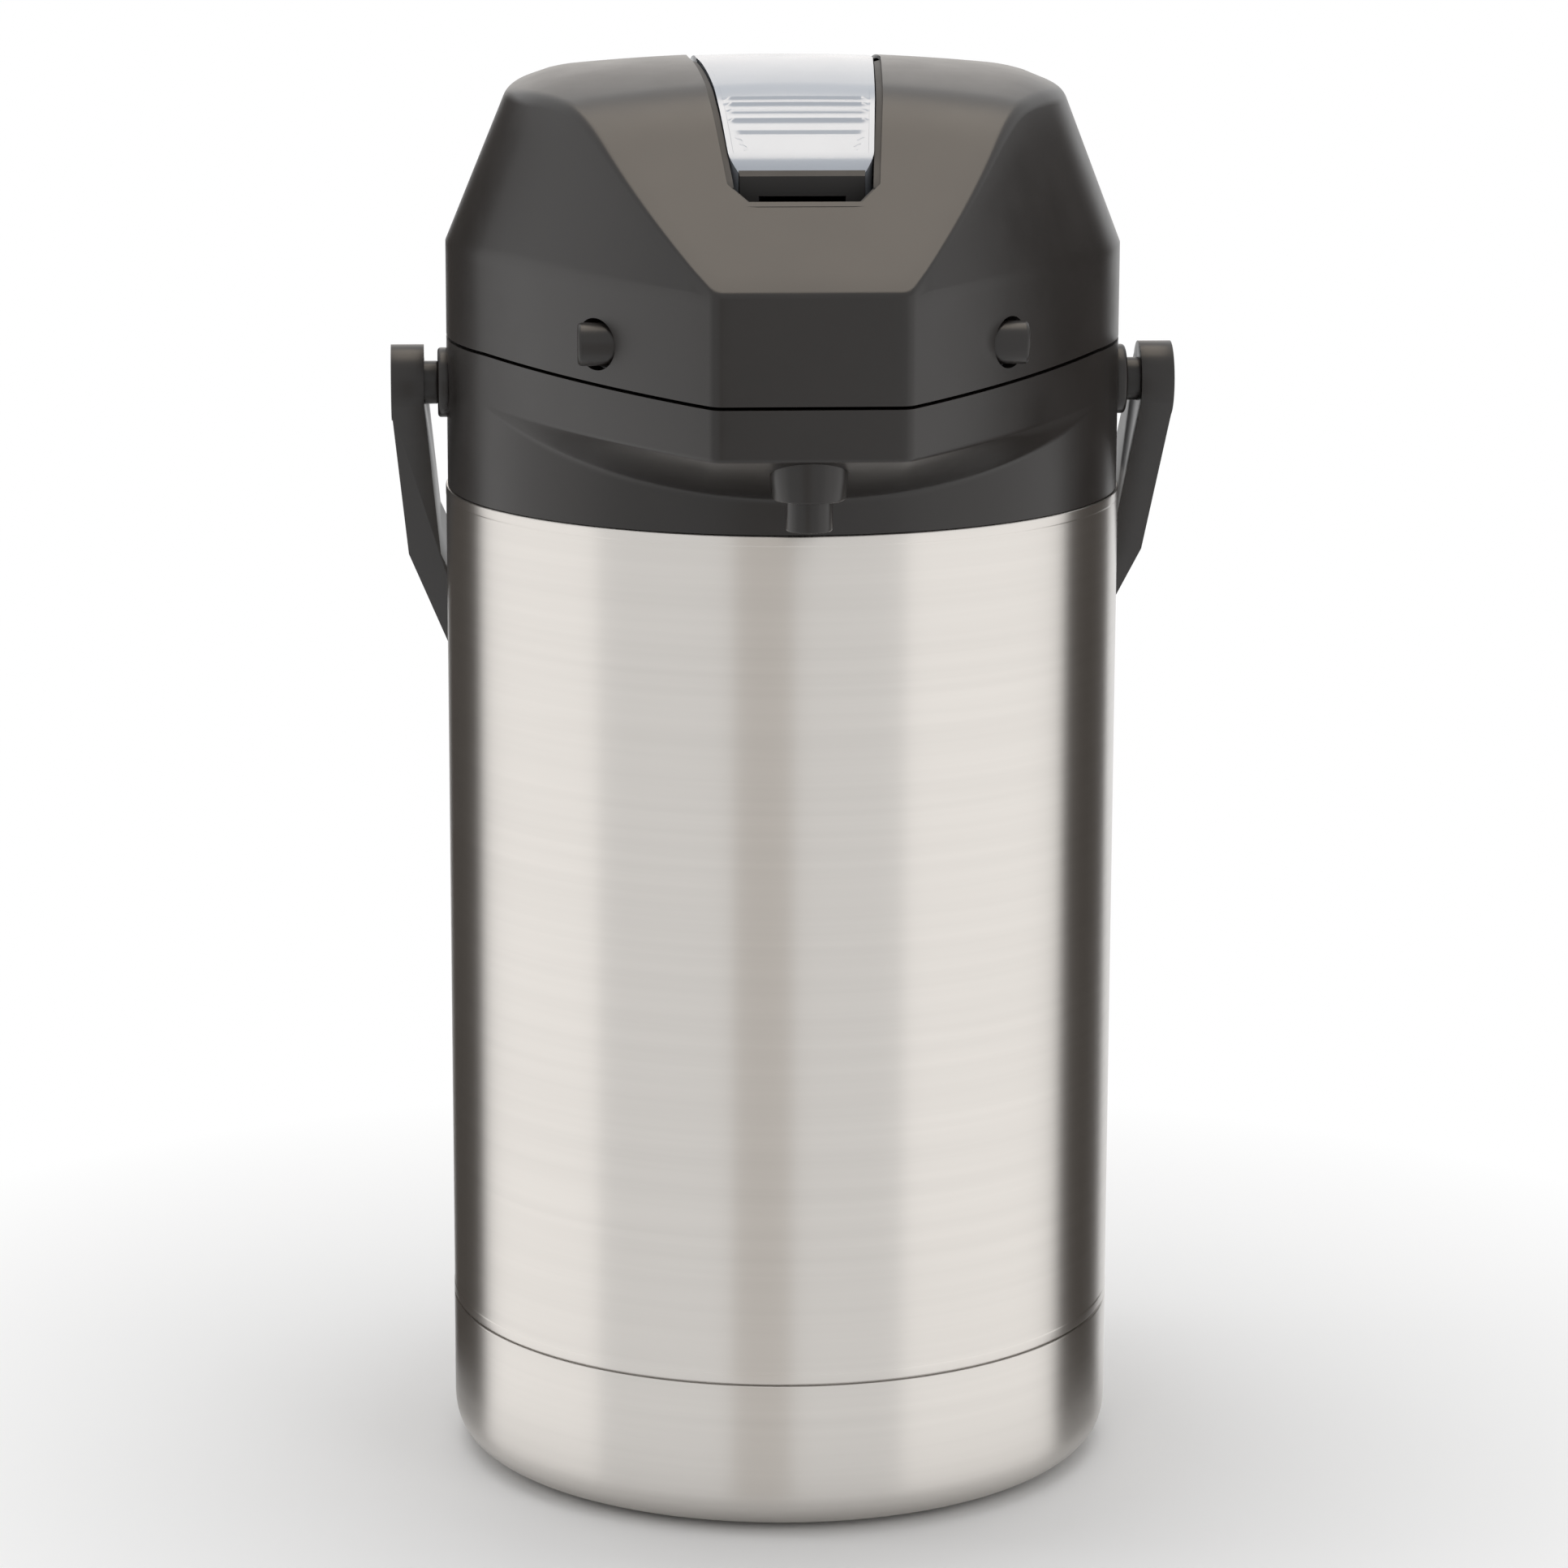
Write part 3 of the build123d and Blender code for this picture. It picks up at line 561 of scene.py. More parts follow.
def circle_side(tip, rear):
    """The side point of the circle through both tips and the rear."""
    x, y = tip
    centre = (x * x + y * y - rear * rear) / (2 * (y - rear))
    radius, between = rear - centre, 0.35
    return (radius * cos(between), centre + radius * sin(between))


def whole(half):
    """A full outline from its right half."""
    return half + [(-x, y) for x, y in reversed(half[1:-1])]


def head_ring():
    return whole(half_outline((FRONT_HALF, FRONT_Y), TIP, PANEL_BULGE, HEAD_RADIUS, CORNER))


def top_ring():
    return whole(half_outline(TOP_FRONT, TOP_TIP, TOP_BULGE, TOP_REAR, CORNER))


def crown_drop(x):
    """How far the crown falls sideways, in millimetres."""
    x = abs(x)
    if x <= ROLL_X:
        return x * x / (2 * CROWN_SIDEWAYS)
    slope = atan2(ROLL_X, CROWN_SIDEWAYS)
    middle = ROLL_X - ROLL_RADIUS * sin(slope)
    base = -(ROLL_X**2) / (2 * CROWN_SIDEWAYS) - ROLL_RADIUS * cos(slope)
    return -(base + sqrt(max(ROLL_RADIUS**2 - (x - middle) ** 2, 1.0)))


def cap_height(x, y, soft=4.0):
    """The height of the lid's top over a point: slope, crown and the soft edge between."""
    radius = CROWN_RADIUS - crown_drop(x)
    crown = CROWN_Z - CROWN_RADIUS + sqrt(max(radius**2 - (y - CROWN_Y) ** 2, 1.0))
    slope = CREASE_Z + (y - FRONT_Y) * SLOPE_RISE
    spread = max(soft - abs(crown - slope), 0.0) / soft
    return min(crown, slope) - spread * spread * soft / 4


def split_height(y):
    """The height of the line between the shoulder and the lid."""
    if y >= TIP[1]:
        return SPLIT_SIDE
    return SPLIT_SIDE - (SPLIT_SIDE - SPLIT_FRONT) * (TIP[1] - y) / (TIP[1] - FRONT_Y)


def to_metres(points):
    return [Vector(p) * MM for p in points]


def notch_points(rear=NOTCH_REAR_Y):
    """The notch's outline in the lid's top, as the right half and its mirror."""
    right = [(13.0, NOTCH_FRONT_Y), (17.5, -79.0), (20.3, -50.0), (23.2, -5.0), (23.2, rear)]
    return right + [(-x, y) for x, y in reversed(right)]


def prism(name, outline, z_low, z_high, material):
    """A closed upright prism from an outline, in millimetres."""
    bm = bmesh.new()
    verts = [bm.verts.new((x * MM, y * MM, z_low * MM)) for x, y in outline]
    face = bm.faces.new(verts)
    out = bmesh.ops.extrude_face_region(bm, geom=[face])
    moved = [v for v in out["geom"] if isinstance(v, bmesh.types.BMVert)]
    bmesh.ops.translate(bm, verts=moved, vec=(0, 0, (z_high - z_low) * MM))
    tidy_normals(bm)
    return mesh_object(bm, name, material)


def bar_x(name, x_low, x_high, y, z, radius, material, bevel=0.0):
    """A round bar along X, with its rims rounded by bevel, in millimetres."""
    bm = bmesh.new()
    turn = Matrix.Rotation(pi / 2, 4, "Y")
    place = Matrix.Translation(Vector(((x_low + x_high) / 2, y, z)) * MM) @ turn
    bmesh.ops.create_cone(
        bm,
        cap_ends=True,
        segments=BAR_SEGMENTS,
        radius1=radius * MM,
        radius2=radius * MM,
        depth=(x_high - x_low) * MM,
        matrix=place,
    )
    if bevel:
        rims = [e for e in bm.edges if abs(e.verts[0].co.x - e.verts[1].co.x) < 1e-7]
        bmesh.ops.bevel(
            bm,
            geom=rims,
            offset=bevel * MM,
            offset_type="OFFSET",
            affect="EDGES",
            segments=3,
            profile=0.5,
            material=-1,
        )
    tidy_normals(bm)
    return mesh_object(bm, name, material)


def cad_copy(node, name, material, edge=0.0, angle=30.0):
    """A merged copy of a CAD node's mesh with its edges rounded."""
    bm = bmesh.new()
    bm.from_mesh(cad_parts[node].data)
    bmesh.ops.remove_doubles(bm, verts=bm.verts, dist=2e-6)
    bmesh.ops.dissolve_limit(bm, angle_limit=radians(0.6), verts=bm.verts, edges=bm.edges)
    obj = mesh_object(bm, name, material, angle)
    if edge:
        soften(obj, edge, angle)
    return obj


class AirpotOperator:
    """What the airpot's operators share."""

    bl_options = {"REGISTER", "UNDO"}
    materials = {}

    def execute(self, context):
        if not AirpotOperator.materials:
            AirpotOperator.materials.update(make_materials())
        self.make(AirpotOperator.materials)
        return {"FINISHED"}


class AIRPOT_OT_steel(AirpotOperator, bpy.types.Operator):
    """Spin the steel body, its rims and its base cup."""

    bl_idname = "airpot.steel"
    bl_label = "Steel body"

    def make(self, finishes):
        radius = BODY_RADIUS / MM
        low, high = shell_low.z / MM, shell_high.z / MM
        rim = sizes().rim / MM
        wall, blend = 0.8, 0.3
        waist = radius - 0.08
        shell = [
            (radius, low),
            (radius, low + rim),
            (waist, low + rim + blend),
            (waist, high - rim - blend),
            (radius, high - rim),
            (radius, high),
            (radius - wall, high),
            (radius - wall, low),
        ]
        rounds = {0: 0.5, 1: 0.3, 2: 0.3, 3: 0.3, 4: 0.3, 5: 0.5}
        outline = rounded(shell, rounds, 4)
        body = lathe("steel_shell", outline, finishes["steel"], steps=STEEL_STEPS)
        dress(body, "pot", "outer_shell")
        top, bottom = cup_high.z / MM, cup_low.z / MM
        seam = low - 0.4
        foot, step, inside = 60, radius - 1.0, radius - 1.8
        cup = [
            (foot, bottom),
            (radius, bottom),
            (radius, seam),
            (step, seam),
            (step, top),
            (inside, top),
            (inside, bottom + wall),
            (foot, bottom + wall),
        ]
        outline = rounded(cup, {1: 14.4, 2: 0.6, 6: 12.8}, 12)
        base = lathe("steel_cup", outline, finishes["steel"], steps=STEEL_STEPS)
        dress(base, "pot", "base_cup")


class AIRPOT_OT_shoulder(AirpotOperator, bpy.types.Operator):
    """Skin the black shoulder with its prow over the spout."""

    bl_idname = "airpot.shoulder"
    bl_label = "Shoulder and prow"

    def make(self, finishes):
        bottom = shell_high.z / MM + 0.2
        columns = [self.column(x, y, bottom) for x, y in head_ring()]
        rings = [to_metres(column[i] for column in columns) for i in range(len(columns[0]))]
        bm = ring_skin(rings)
        tidy_normals(bm)
        outer = mesh_object(bm, "shoulder_skin", finishes["black"], HEAD_SMOOTH)
        thicken(outer, 2.2, HEAD_SMOOTH)
        below, above = 240, 262.4
        bore = [(0, below), (SPOUT_RADIUS, below), (SPOUT_RADIUS, above), (0, above)]
        cut(outer, lathe("cut", bore, finishes["black"], SPOUT_XY, 64), HEAD_SMOOTH)
        dress(outer, "pot", "shoulder_collar")
        # The inside of the same shoulder moulding takes the darkened black, as painted shade
        inside = cad_copy("shoulder_collar", "shoulder_inside", finishes["dark"])
        self.trim_inside(inside)
        dress(inside, "pot")

    def column(self, x, y, bottom):
        """One upright line of the shoulder's outside, from the split down to the steel."""
        split = (x, y, split_height(y))
        if y > TIP[1]:
            marks = [split, (x, y, RIDGE_TIP), (x, y, RIDGE_TIP - 4), (x, y, bottom)]
        else:
            share = (TIP[1] - y) / (TIP[1] - FRONT_Y)
            ridge_z = RIDGE_TIP - (RIDGE_TIP - RIDGE_FRONT) * share
            wide = x / TIP[0]
            low_x = HEAD_RADIUS * sin(atan2(TIP[0], -TIP[1])) * wide
            low_y = -sqrt(max(HEAD_RADIUS**2 - low_x**2, 0.0))
            root_z = ROOT_Z + ROOT_SLOPE * (low_y + HEAD_RADIUS)
            root = (low_x, low_y, min(root_z, ridge_z - 0.4))
            marks = [split, (x, y, ridge_z), root, (low_x, low_y, bottom)]
        top = [split, tuple(Vector(split) + Vector((0, 0, -1)))]
        ridge = fillet_points(marks[0], marks[1], marks[2], 1.6, 4)
        under = [tuple(Vector(marks[1]).lerp(Vector(marks[2]), t)) for t in (0.25, 0.5, 0.75)]
        root = fillet_points(marks[1], marks[2], marks[3], 2.5, 4)
        wall = [tuple(Vector(marks[2]).lerp(Vector(marks[3]), t)) for t in (0.6, 0.98, 1.0)]
        return top + ridge + under + root + wall

    def trim_inside(self, inside):
        """Keeps only what lies inside the skin: the deck, the mouth and the hinge ears."""
        keep_radius, hinge_y = 78.0 * MM, 77.9 * MM
        bm = bmesh.new()
        bm.from_mesh(inside.data)
        away = [
            f
            for f in bm.faces
            if all(v.co.xy.length > keep_radius and v.co.y < hinge_y for v in f.verts)
        ]
        bmesh.ops.delete(bm, geom=away, context="FACES")
        bm.to_mesh(inside.data)
        bm.free()


class AIRPOT_OT_lid(AirpotOperator, bpy.types.Operator):
    """Skin the lid's cover, cut its notch and its button holes, and line the notch."""

    bl_idname = "airpot.lid"
    bl_label = "Lid cover"

    def make(self, finishes):
        lower, upper = head_ring(), top_ring()
        columns = [self.column(a, b) for a, b in zip(lower, upper)]
        rings = [to_metres(column[i] for column in columns) for i in range(len(columns[0]))]
        bm = ring_skin(rings, close_top=True)
        tidy_normals(bm)
        cover = mesh_object(bm, "lid_skin", finishes["black"], HEAD_SMOOTH)
        thicken(cover, 2.4, HEAD_SMOOTH)
        cut(cover, prism("cut", notch_points(), 300, 360, finishes["dark"]), HEAD_SMOOTH)
        for side in (1, -1):
            low_x, high_x = sorted((side * 34, side * 70))
            drill = bar_x("cut", low_x, high_x, *BUTTON_YZ, 6.0, finishes["dark"])
            cut(cover, drill, HEAD_SMOOTH)
        dress(cover, "lid", "lid_cover")
        self.well(finishes)
        ear = bar_x("lid_ear", -EAR_HALF, EAR_HALF, *HINGE_YZ, 5.0, finishes["black"], 0.6)
        dress(ear, "lid")
        outline = [(-EAR_HALF, 79.0), (EAR_HALF, 79.0), (EAR_HALF, 87.5), (-EAR_HALF, 87.5)]
        dress(prism("lid_ear_web", outline, 281.3, 285.9, finishes["black"]), "lid")

    def column(self, low, high):
        """One line over the lid, from the split up the side, round the rim and in to the middle."""
        base = Vector((low[0], low[1], split_height(low[1]) + SPLIT_GAP))
        crease = Vector((low[0], low[1], CREASE_Z))
        rim = self.rim_point(crease, Vector((high[0], high[1], TOP_Z)))
        side, lean = (crease - base).length, (rim - crease).length
        edge = 2.4 + 3.2 * min(max((low[1] - FRONT_Y) / (TIP[1] - FRONT_Y), 0.0), 1.0)
        knee = min(side, side + lean - edge)
        marks = [knee * t for t in (0, 0.03, 0.35, 0.7, 0.9, 1.0)]
        rest = side + lean - edge - knee
        marks += [knee + rest * t for t in (0.08, 0.25, 0.45, 0.65, 0.85)]

        def along(mark):
            if mark <= side:
                return base.lerp(crease, mark / side)
            return crease.lerp(rim, (mark - side) / lean)

        wall = [along(mark) for mark in marks]
        centre = Vector((0, -12))
        reach = (rim.xy - centre).length
        inner = self.over(rim, centre, edge / reach)
        turn = [Vector(p) for p in fillet_points(along(side + lean - edge), rim, inner, edge, 6)]
        cap = [
            self.over(rim, centre, edge / reach + (1 - edge / reach) * i / CAP_STEPS)
            for i in range(1, CAP_STEPS)
        ]
        return [tuple(p) for p in wall + turn + cap]

    def rim_point(self, crease, top):
        """Where a line up the leaning side meets the cap."""
        low, high = 0.0, 1.0
        for _ in range(40):
            share = (low + high) / 2
            p = crease.lerp(top, share)
            if cap_height(p.x, p.y) > p.z:
                low = share
            else:
                high = share
        return crease.lerp(top, max(low, 1e-4))

    def over(self, rim, centre, share):
        """A point of the cap on the way from the rim to the middle."""
        flat = rim.xy.lerp(centre, share)
        return Vector((flat.x, flat.y, cap_height(flat.x, flat.y)))

    def well(self, finishes):
        """The walls round the notch, deeper at the front, in the darkened black moulding as painted
        shade.
        """
        for name, outline, low in (
            ("notch_wall", notch_points(), 317.0),
            ("notch_pit", notch_points(PIT_REAR_Y), 285.2),
        ):
            bm = bmesh.new()
            verts = [bm.verts.new((x * MM, y * MM, low * MM)) for x, y in outline]
            edges = [bm.edges.new(pair) for pair in zip(verts, verts[1:] + verts[:1])]
            bmesh.ops.subdivide_edges(bm, edges=edges, cuts=12)
            out = bmesh.ops.extrude_edge_only(bm, edges=list(bm.edges))
            for v in (g for g in out["geom"] if isinstance(g, bmesh.types.BMVert)):
                v.co.z = (cap_height(v.co.x / MM, v.co.y / MM) - 0.9) * MM
            if name == "notch_pit":
                rear = PIT_REAR_Y * MM
                back = [f for f in bm.faces if all(abs(v.co.y - rear) < 2e-4 for v in f.verts)]
                bmesh.ops.delete(bm, geom=back, context="FACES")
            tidy_normals(bm)
            # The notch walls take the darkened black moulding: painted shade in the recess
            wall = mesh_object(bm, name, finishes["dark"], 30)
            thicken(wall, 1.6, 30, offset=1)
            dress(wall, "lid")


class AIRPOT_OT_lever(AirpotOperator, bpy.types.Operator):
    """Shape the bright lever with its grip ribs and inset pad."""

    bl_idname = "airpot.lever"
    bl_label = "Push lever"
    curl_depth = 6.2
    rib_places = (-50.5, -53.0, -55.6, -58.8)
    rib_half = 0.8
    pad_front, pad_rear, pad_depth = -68.0, -62.0, 0.55

    def make(self, finishes):
        bm = bmesh.new()
        bmesh.ops.create_grid(bm, x_segments=44, y_segments=240, size=1.0)
        rib = sizes().rib / MM
        for v in bm.verts:
            across, along = v.co.x, (v.co.y + 1) / 2
            crowded = along**1.25 * 0.35 + along**2 * 0.65
            y = LEVER_TIP_Y + (LEVER_REAR_Y - LEVER_TIP_Y) * crowded
            x = across * self.half_width(y)
            z = cap_height(x, y) - 0.25 + self.relief(across, y, rib)
            v.co = Vector((x, y, z)) * MM
        border = [e for e in bm.edges if e.is_boundary]
        for down in (0.25, 0.7, 7.6):
            out = bmesh.ops.extrude_edge_only(bm, edges=border)
            for v in (g for g in out["geom"] if isinstance(g, bmesh.types.BMVert)):
                self.fold(v, down)
            edges = [g for g in out["geom"] if isinstance(g, bmesh.types.BMEdge)]
            border = [e for e in edges if e.is_boundary]
        tidy_normals(bm)
        cover = mesh_object(bm, "lever_plate", finishes["chrome"], 50)
        thicken(cover, 1.2, 50)
        dress(cover, "lever", "lever_cover")

    def half_width(self, y):
        """The lever's half-width at y, drawn in where the nose curls down."""
        rear, waist, front = 21.3, 18.4, 16.8
        if y > -5:
            return rear
        if y > -50:
            return waist + (rear - waist) * (y + 50) / 45
        return front + (waist - front) * (y + 69) / 19 - self.curl_depth * self.curl(y)

    def curl(self, y):
        """How far round the nose has curled at y, from 0 to 1."""
        share = min(max((LEVER_NOSE_Y - y) / (LEVER_NOSE_Y - LEVER_TIP_Y), 0.0), 1.0)
        return 1 - sqrt(1 - share**2)

    def relief(self, across, y, rib):
        """Ribs across the thumb slope, the sunk pad below them and the curled nose."""
        height = -self.curl_depth * self.curl(y)
        if abs(across) < 0.9:
            for place in self.rib_places:
                height += rib * max(0.0, 1 - abs(y - place) / self.rib_half)
        pad_reach = 0.86 - 0.02 * (self.pad_rear - y)
        if self.pad_front < y < self.pad_rear and abs(across) < pad_reach:
            height -= self.pad_depth
        return height

    def fold(self, v, down):
        """Moves an edge point of the lever in and down to make its skirt."""
        inward = 0.1
        share = max(0.0, 1 - 0.75 * self.curl(max(v.co.y / MM, LEVER_TIP_Y)))
        v.co.x -= inward * (1 if v.co.x > 0 else -1) * MM
        v.co.z -= down * share * MM


class AIRPOT_OT_handle(AirpotOperator, bpy.types.Operator):
    """Round the bail handle and its pivots."""

    bl_idname = "airpot.handle"
    bl_label = "Carry handle"

    def make(self, finishes):
        black = finishes["black"]
        bail = cad_copy("carry_handle", "handle_bail", black, 1.6 * MM, 35)
        dress(bail, "handle", "carry_handle")
        for side, word in ((-1, "left"), (1, "right")):
            # Name, body, node that it stands for, span across, radius and rounding
            for name, body, node, span, radius, bevel in (
                (f"pivot_{word}_spindle", "pot", None, (84.2, 93.8), 5.25, 0.3),
                (f"pivot_{word}_flange", "pot", f"handle_pivot_{word}", (81.0, 84.2), 8.5, 0.8),
                (f"handle_disc_{word}", "handle", f"handle_cap_{word}", (94.1, 95.5), 7.0, 0.5),
            ):
                low_x, high_x = sorted(side * x for x in span)
                piece = bar_x(name, low_x, high_x, *PIVOT_YZ, radius, black, bevel)
                dress(piece, body, *([node] if node else []))


class AIRPOT_OT_spout(AirpotOperator, bpy.types.Operator):
    """Spin the nozzle under the prow."""

    bl_idname = "airpot.spout"
    bl_label = "Spout nozzle"

    def make(self, finishes):
        profile = [
            (3.7, 248.6),
            (5.35, 248.6),
            (5.35, 255.8),
            (8.4, 255.8),
            (SPOUT_RADIUS, 261.3),
            (SPOUT_RADIUS, 266.4),
            (4.5, 266.4),
            (4.5, 256.3),
            (3.7, 256.3),
        ]
        outline = rounded(profile, {0: 0.4, 1: 0.5, 2: 0.6, 3: 0.6}, 3)
        nozzle = lathe("spout_nozzle", outline, finishes["black"], SPOUT_XY, 96)
        dress(nozzle, "pot", "nozzle")


class AIRPOT_OT_buttons(AirpotOperator, bpy.types.Operator):
    """Turn the two latch buttons with rounded ends."""

    bl_idname = "airpot.buttons"
    bl_label = "Latch buttons"

    def make(self, finishes):
        for side, word in ((-1, "left"), (1, "right")):
            low_x, high_x = sorted((side * 26, side * 51.8))
            name = f"button_{word}"
            pin = bar_x(name, low_x, high_x, *BUTTON_YZ, 4.97, finishes["black"], 0.9)
            dress(pin, name, f"latch_button_{word}")
            low_x, high_x = sorted((side * 26, side * 30))
            front, rear = BUTTON_YZ[0] - 4, BUTTON_YZ[0] + 4
            outline = [(low_x, front), (high_x, front), (high_x, rear), (low_x, rear)]
            dress(prism(f"hook_{word}", outline, 268.5, 286, finishes["grey"]), name)


class AIRPOT_OT_pump(AirpotOperator, bpy.types.Operator):
    """Fold the bellows, wind the return spring and finish the inner pieces."""

    bl_idname = "airpot.pump"
    bl_label = "Pump and inner pieces"

    def make(self, finishes):
        folds, foot, head = 10, 283.0, 311.7
        line = [(42 - 5 * (i % 2), foot + (head - foot) * i / folds) for i in range(folds + 1)]
        outer = rounded(line, {i: 0.9 for i in range(1, folds)}, 3)
        inner = [(r - 0.8, z) for r, z in reversed(outer)]
        bellows = lathe("pump_bellows", outer + inner, finishes["silicone"], steps=96)
        dress(bellows, "lid", "bellows")
        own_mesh(bellows)
        self.coil(finishes)
        for node, finish in (
            ("base_plate", "black"),
            ("inner_liner", "liner"),
            ("spout_tube", "pin"),
            ("pickup_tube", "pin"),
            ("stem_head", "black"),
            ("hinge_pin", "pin"),
            ("pump_base", "grey"),
            ("pump_screws", "pin"),
            ("lever_pin", "pin"),
            # The lever frame takes the darkened black moulding, as painted shade
            ("lever_frame", "dark"),
            ("lever_roller", "grey"),
            ("push_plate", "grey"),
        ):
            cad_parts[node].material_slots[0].material = finishes[finish]
        rings = (
            ("seal_lid", "lid_seal", "lid", 36, 44.5, 268.3, 271.0),
            ("seal_neck", "neck_seal", "pot", 41.2, 47, 245, 248),
            ("seal_stem", "stem_seal", "pot", 34.2, 40, 250, 251),
            ("cushion_liner", "liner_cushion", "pot", 30.5, 47.5, 1.8, 14),
            ("valve_disc", "check_valve", "lid", 0.5, 8.9, 269.5, 270.7),
        )
        for name, node, body, r_low, r_high, z_low, z_high in rings:
            profile = [(r_low, z_low), (r_high, z_low), (r_high, z_high), (r_low, z_high)]
            bulge = {i: min(0.45, (z_high - z_low) / 3) for i in range(4)}
            piece = lathe(name, rounded(profile, bulge, 3), finishes["silicone"], steps=96)
            dress(piece, body, node)

    def coil(self, finishes):
        """The return spring as one wound wire."""
        radius, wire, pitch = 20.0, 1.0, 4.6
        low, high = 270.7, 310.5
        turns = (high - low) / pitch
        curve = bpy.data.curves.new("return_coil", "CURVE")
        curve.dimensions = "3D"
        spline = curve.splines.new("POLY")
        count = int(turns * 32)
        spline.points.add(count)
        for i, point in enumerate(spline.points):
            angle = 2 * pi * turns * i / count
            z = low + (high - low) * i / count
            point.co = (radius * cos(angle) * MM, radius * sin(angle) * MM, z * MM, 1)
        curve.bevel_depth = wire * MM
        curve.bevel_resolution = 3
        curve.use_fill_caps = True
        wound = bpy.data.objects.new("return_coil_curve", curve)
        bpy.context.scene.collection.objects.link(wound)
        graph = bpy.context.evaluated_depsgraph_get()
        mesh = bpy.data.meshes.new_from_object(wound.evaluated_get(graph))
        bpy.data.objects.remove(wound)
        coil = bpy.data.objects.new("return_coil", mesh)
        bpy.context.scene.collection.objects.link(coil)
        mesh.materials.append(finishes["pin"])
        shade(coil, 60)
        dress(coil, "lid", "return_spring")
        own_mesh(coil)


class AIRPOT_OT_stage(bpy.types.Operator):
    """Lay the floor, light the airpot and place the camera."""

    bl_idname = "airpot.stage"
    bl_label = "Stage"
    camera_place = (-0.07741, -1.27169, 0.44463)

    def execute(self, context):
        self.floor()
        self.cards()
        self.lights()
        self.world()
        self.camera()
        context.scene.view_settings.view_transform = "Standard"
        return {"FINISHED"}

    def floor(self):
        bm = bmesh.new()
        bmesh.ops.create_grid(bm, x_segments=1, y_segments=1, size=4.0)
        mesh = bpy.data.meshes.new("floor")
        bm.to_mesh(mesh)
        bm.free()
        floor = bpy.data.objects.new("floor", mesh)
        bpy.context.scene.collection.objects.link(floor)
        mesh.materials.append(self.floor_material())

    def floor_material(self):
        """White paint near the airpot, which keeps its shadow, fading into the white background."""
        material = bpy.data.materials.new("floor_white")
        material.use_nodes = True
        tree = material.node_tree
        paint = tree.nodes["Principled BSDF"]
        paint.inputs["Base Color"].default_value = (0.9, 0.9, 0.9, 1)
        paint.inputs["Roughness"].default_value = 0.7
        glow = tree.nodes.new("ShaderNodeEmission")
        place = tree.nodes.new("ShaderNodeTexCoord")
        distance = tree.nodes.new("ShaderNodeVectorMath")
        distance.operation = "LENGTH"
        tree.links.new(place.outputs["Object"], distance.inputs[0])
        far = ranged(tree, distance.outputs["Value"], 0.0, 1.0, 0.1, 0.32)
        faded = combined(tree, "MULTIPLY", far, self.seen_rays(tree))
        white = self.either(tree, faded, paint.outputs["BSDF"], glow.outputs["Emission"])
        clear = tree.nodes.new("ShaderNodeBsdfTransparent")
        near = ranged(tree, distance.outputs["Value"], 0.0, 1.0, 0.085, 0.125)
        path = tree.nodes.new("ShaderNodeLightPath")
        glossy = combined(tree, "MULTIPLY", near, path.outputs["Is Glossy Ray"])
        surface = self.either(tree, glossy, white, clear.outputs["BSDF"])
        tree.links.new(surface, tree.nodes["Material Output"].inputs["Surface"])
        return material

    def either(self, tree, factor, first, second):
        """The shader between two shaders."""
        node = tree.nodes.new("ShaderNodeMixShader")
        tree.links.new(factor, node.inputs["Fac"])
        tree.links.new(first, node.inputs[1])
        tree.links.new(second, node.inputs[2])
        return node.outputs["Shader"]

    def seen_rays(self, tree):
        """One for camera, glossy and transmission rays, and zero for the rest."""
        path = tree.nodes.new("ShaderNodeLightPath").outputs
        seen = combined(tree, "MAXIMUM", path["Is Camera Ray"], path["Is Glossy Ray"])
        return combined(tree, "MAXIMUM", seen, path["Is Transmission Ray"])

    def cards(self):
        """Dark and bright cards round the airpot, which only its gloss can see."""
        dark, bright = (0.08, 0.072, 0.066), (1.34, 1.33, 1.32)
        middle, above, behind = (0.72, 0.69, 0.66), (3.2, 2.9, 2.55), (1.3, 1.25, 1.2)
        towards = atan2(self.camera_place[1], self.camera_place[0])
        for name, colour, from_angle, to_angle, radius in (
            ("card_front", middle, -15, 4, 0.62),
            ("card_left", dark, -152, -113, 0.34),
            ("card_right", dark, 101, 137, 0.34),
            ("card_bright_left", bright, -115, -61, 0.6),
            ("card_bright_right", bright, 40, 104.5, 0.6),
        ):
            bm = bmesh.new()
            bmesh.ops.create_grid(bm, x_segments=24, y_segments=1, size=1.0)
            for v in bm.verts:
                angle = towards + radians(from_angle + (to_angle - from_angle) * (v.co.x + 1) / 2)
                height = -0.3 if v.co.y < 0 else 0.4
                v.co = Vector((radius * cos(angle), radius * sin(angle), height))
            self.card(bm, name, colour)
        bm = bmesh.new()
        bmesh.ops.create_grid(bm, x_segments=1, y_segments=1, size=0.36)
        bmesh.ops.translate(bm, verts=bm.verts, vec=(0, 0.2, 1.1))
        self.card(bm, "card_above", above)
        bm = bmesh.new()
        upright = Matrix.Translation((0, 1.3, 0.72)) @ Matrix.Rotation(pi / 2, 4, "X")
        bmesh.ops.create_grid(bm, x_segments=1, y_segments=1, size=0.36, matrix=upright)
        self.card(bm, "card_behind", behind)

    def card(self, bm, name, colour):
        """Makes one card from its mesh, seen in gloss alone."""
        material = bpy.data.materials.new(name)
        material.use_nodes = True
        shader = material.node_tree.nodes["Principled BSDF"]
        shader.inputs["Base Color"].default_value = (0, 0, 0, 1)
        shader.inputs["Specular IOR Level"].default_value = 0.0
        shader.inputs["Emission Color"].default_value = (*colour, 1)
        shader.inputs["Emission Strength"].default_value = 1.0
        card = mesh_object(bm, name, material)
        card.visible_camera = False
        card.visible_diffuse = False
        card.visible_shadow = False
        card.visible_transmission = False

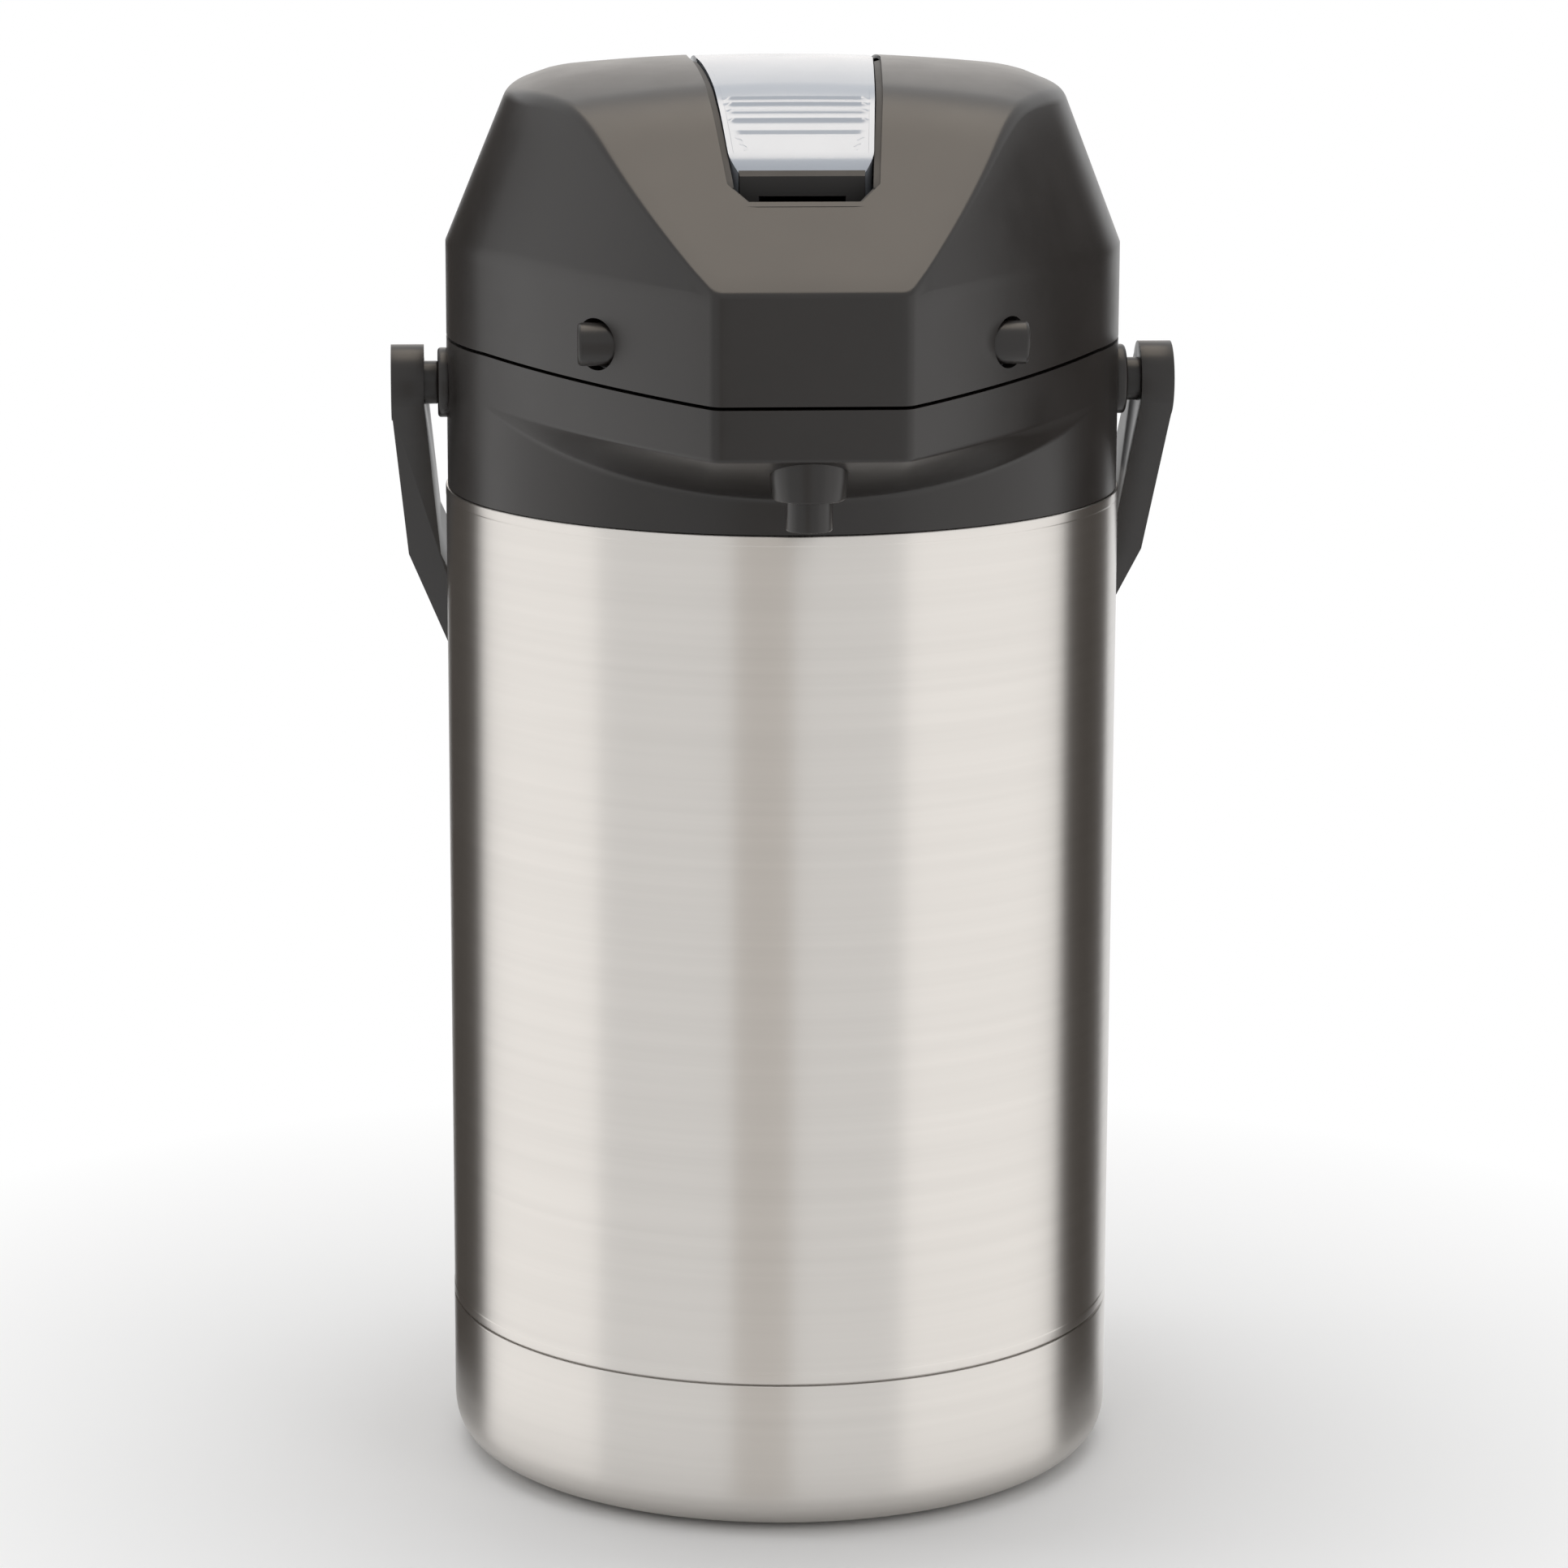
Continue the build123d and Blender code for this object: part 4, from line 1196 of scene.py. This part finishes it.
    def lights(self):
        """Two tall soft boxes at the sides, a broad one overhead and a weak one in front."""
        for name, place, size, energy in (
            ("right_box", (0.85, -0.95, 0.35), (0.5, 1.3), 2.6),
            ("left_box", (-1.2, 0.1, 0.4), (0.25, 1.3), 1.6),
            ("top_box", (0.0, 0.35, 1.5), (1.6, 1.2), 9.0),
            ("front_fill", (-0.5, -1.9, 1.3), (1.2, 0.8), 2.0),
        ):
            lamp = bpy.data.lights.new(name, "AREA")
            lamp.shape = "RECTANGLE"
            lamp.size, lamp.size_y = size
            lamp.energy = energy
            obj = bpy.data.objects.new(name, lamp)
            obj.location = place
            aim = Vector((0, 0, 0.2)) - Vector(place)
            obj.rotation_euler = aim.to_track_quat("-Z", "Y").to_euler()
            obj.visible_glossy = False
            bpy.context.scene.collection.objects.link(obj)

    def world(self):
        """White to the camera and in gloss, and a dimmer room for diffuse light."""
        world = bpy.data.worlds.new("studio")
        bpy.context.scene.world = world
        world.use_nodes = True
        tree = world.node_tree
        back = tree.nodes["Background"]
        room, white = (0.5, 0.5, 0.5, 1), (1, 1, 1, 1)
        colour = mixed(tree, self.seen_rays(tree), room, white)
        tree.links.new(colour, back.inputs["Color"])
        back.inputs["Strength"].default_value = 1.0

    def camera(self):
        """The camera that the photograph's outline was solved for."""
        data = bpy.data.cameras.new("camera")
        data.sensor_width = 36.0
        data.lens = 120.2
        obj = bpy.data.objects.new("camera", data)
        heading, pitch, roll = radians(3.5155), radians(12.267), radians(0.162)
        turn = Matrix.Rotation(-heading, 4, "Z")
        tilt = Matrix.Rotation(pi / 2 - pitch, 4, "X")
        lean = Matrix.Rotation(roll, 4, "Z")
        place = Matrix.Translation(self.camera_place)
        obj.matrix_world = place @ turn @ tilt @ lean
        bpy.context.scene.collection.objects.link(obj)
        bpy.context.scene.camera = obj


class AIRPOT_PT_panel(bpy.types.Panel):
    """The airpot's pieces and stage, one button each."""

    bl_idname = "AIRPOT_PT_panel"
    bl_label = "Airpot"
    bl_space_type = "VIEW_3D"
    bl_region_type = "UI"
    bl_category = "Airpot"

    def draw(self, context):
        for operator in PIECES:
            self.layout.operator(operator.bl_idname)


PIECES = (
    AIRPOT_OT_steel,
    AIRPOT_OT_shoulder,
    AIRPOT_OT_lid,
    AIRPOT_OT_lever,
    AIRPOT_OT_handle,
    AIRPOT_OT_spout,
    AIRPOT_OT_buttons,
    AIRPOT_OT_pump,
    AIRPOT_OT_stage,
)
CLASSES = (AirpotSizes, AirpotColours, *PIECES, AIRPOT_PT_panel)


def register():
    for item in CLASSES:
        bpy.utils.register_class(item)
    bpy.types.Scene.airpot_sizes = PointerProperty(type=AirpotSizes)
    bpy.types.Scene.airpot_colours = PointerProperty(type=AirpotColours)


def unregister():
    del bpy.types.Scene.airpot_colours
    del bpy.types.Scene.airpot_sizes
    for item in reversed(CLASSES):
        bpy.utils.unregister_class(item)


def main():
    register()
    bpy.ops.airpot.steel()
    bpy.ops.airpot.shoulder()
    bpy.ops.airpot.lid()
    bpy.ops.airpot.lever()
    bpy.ops.airpot.handle()
    bpy.ops.airpot.spout()
    bpy.ops.airpot.buttons()
    bpy.ops.airpot.pump()
    bpy.ops.airpot.stage()


if __name__ == "__main__":
    main()
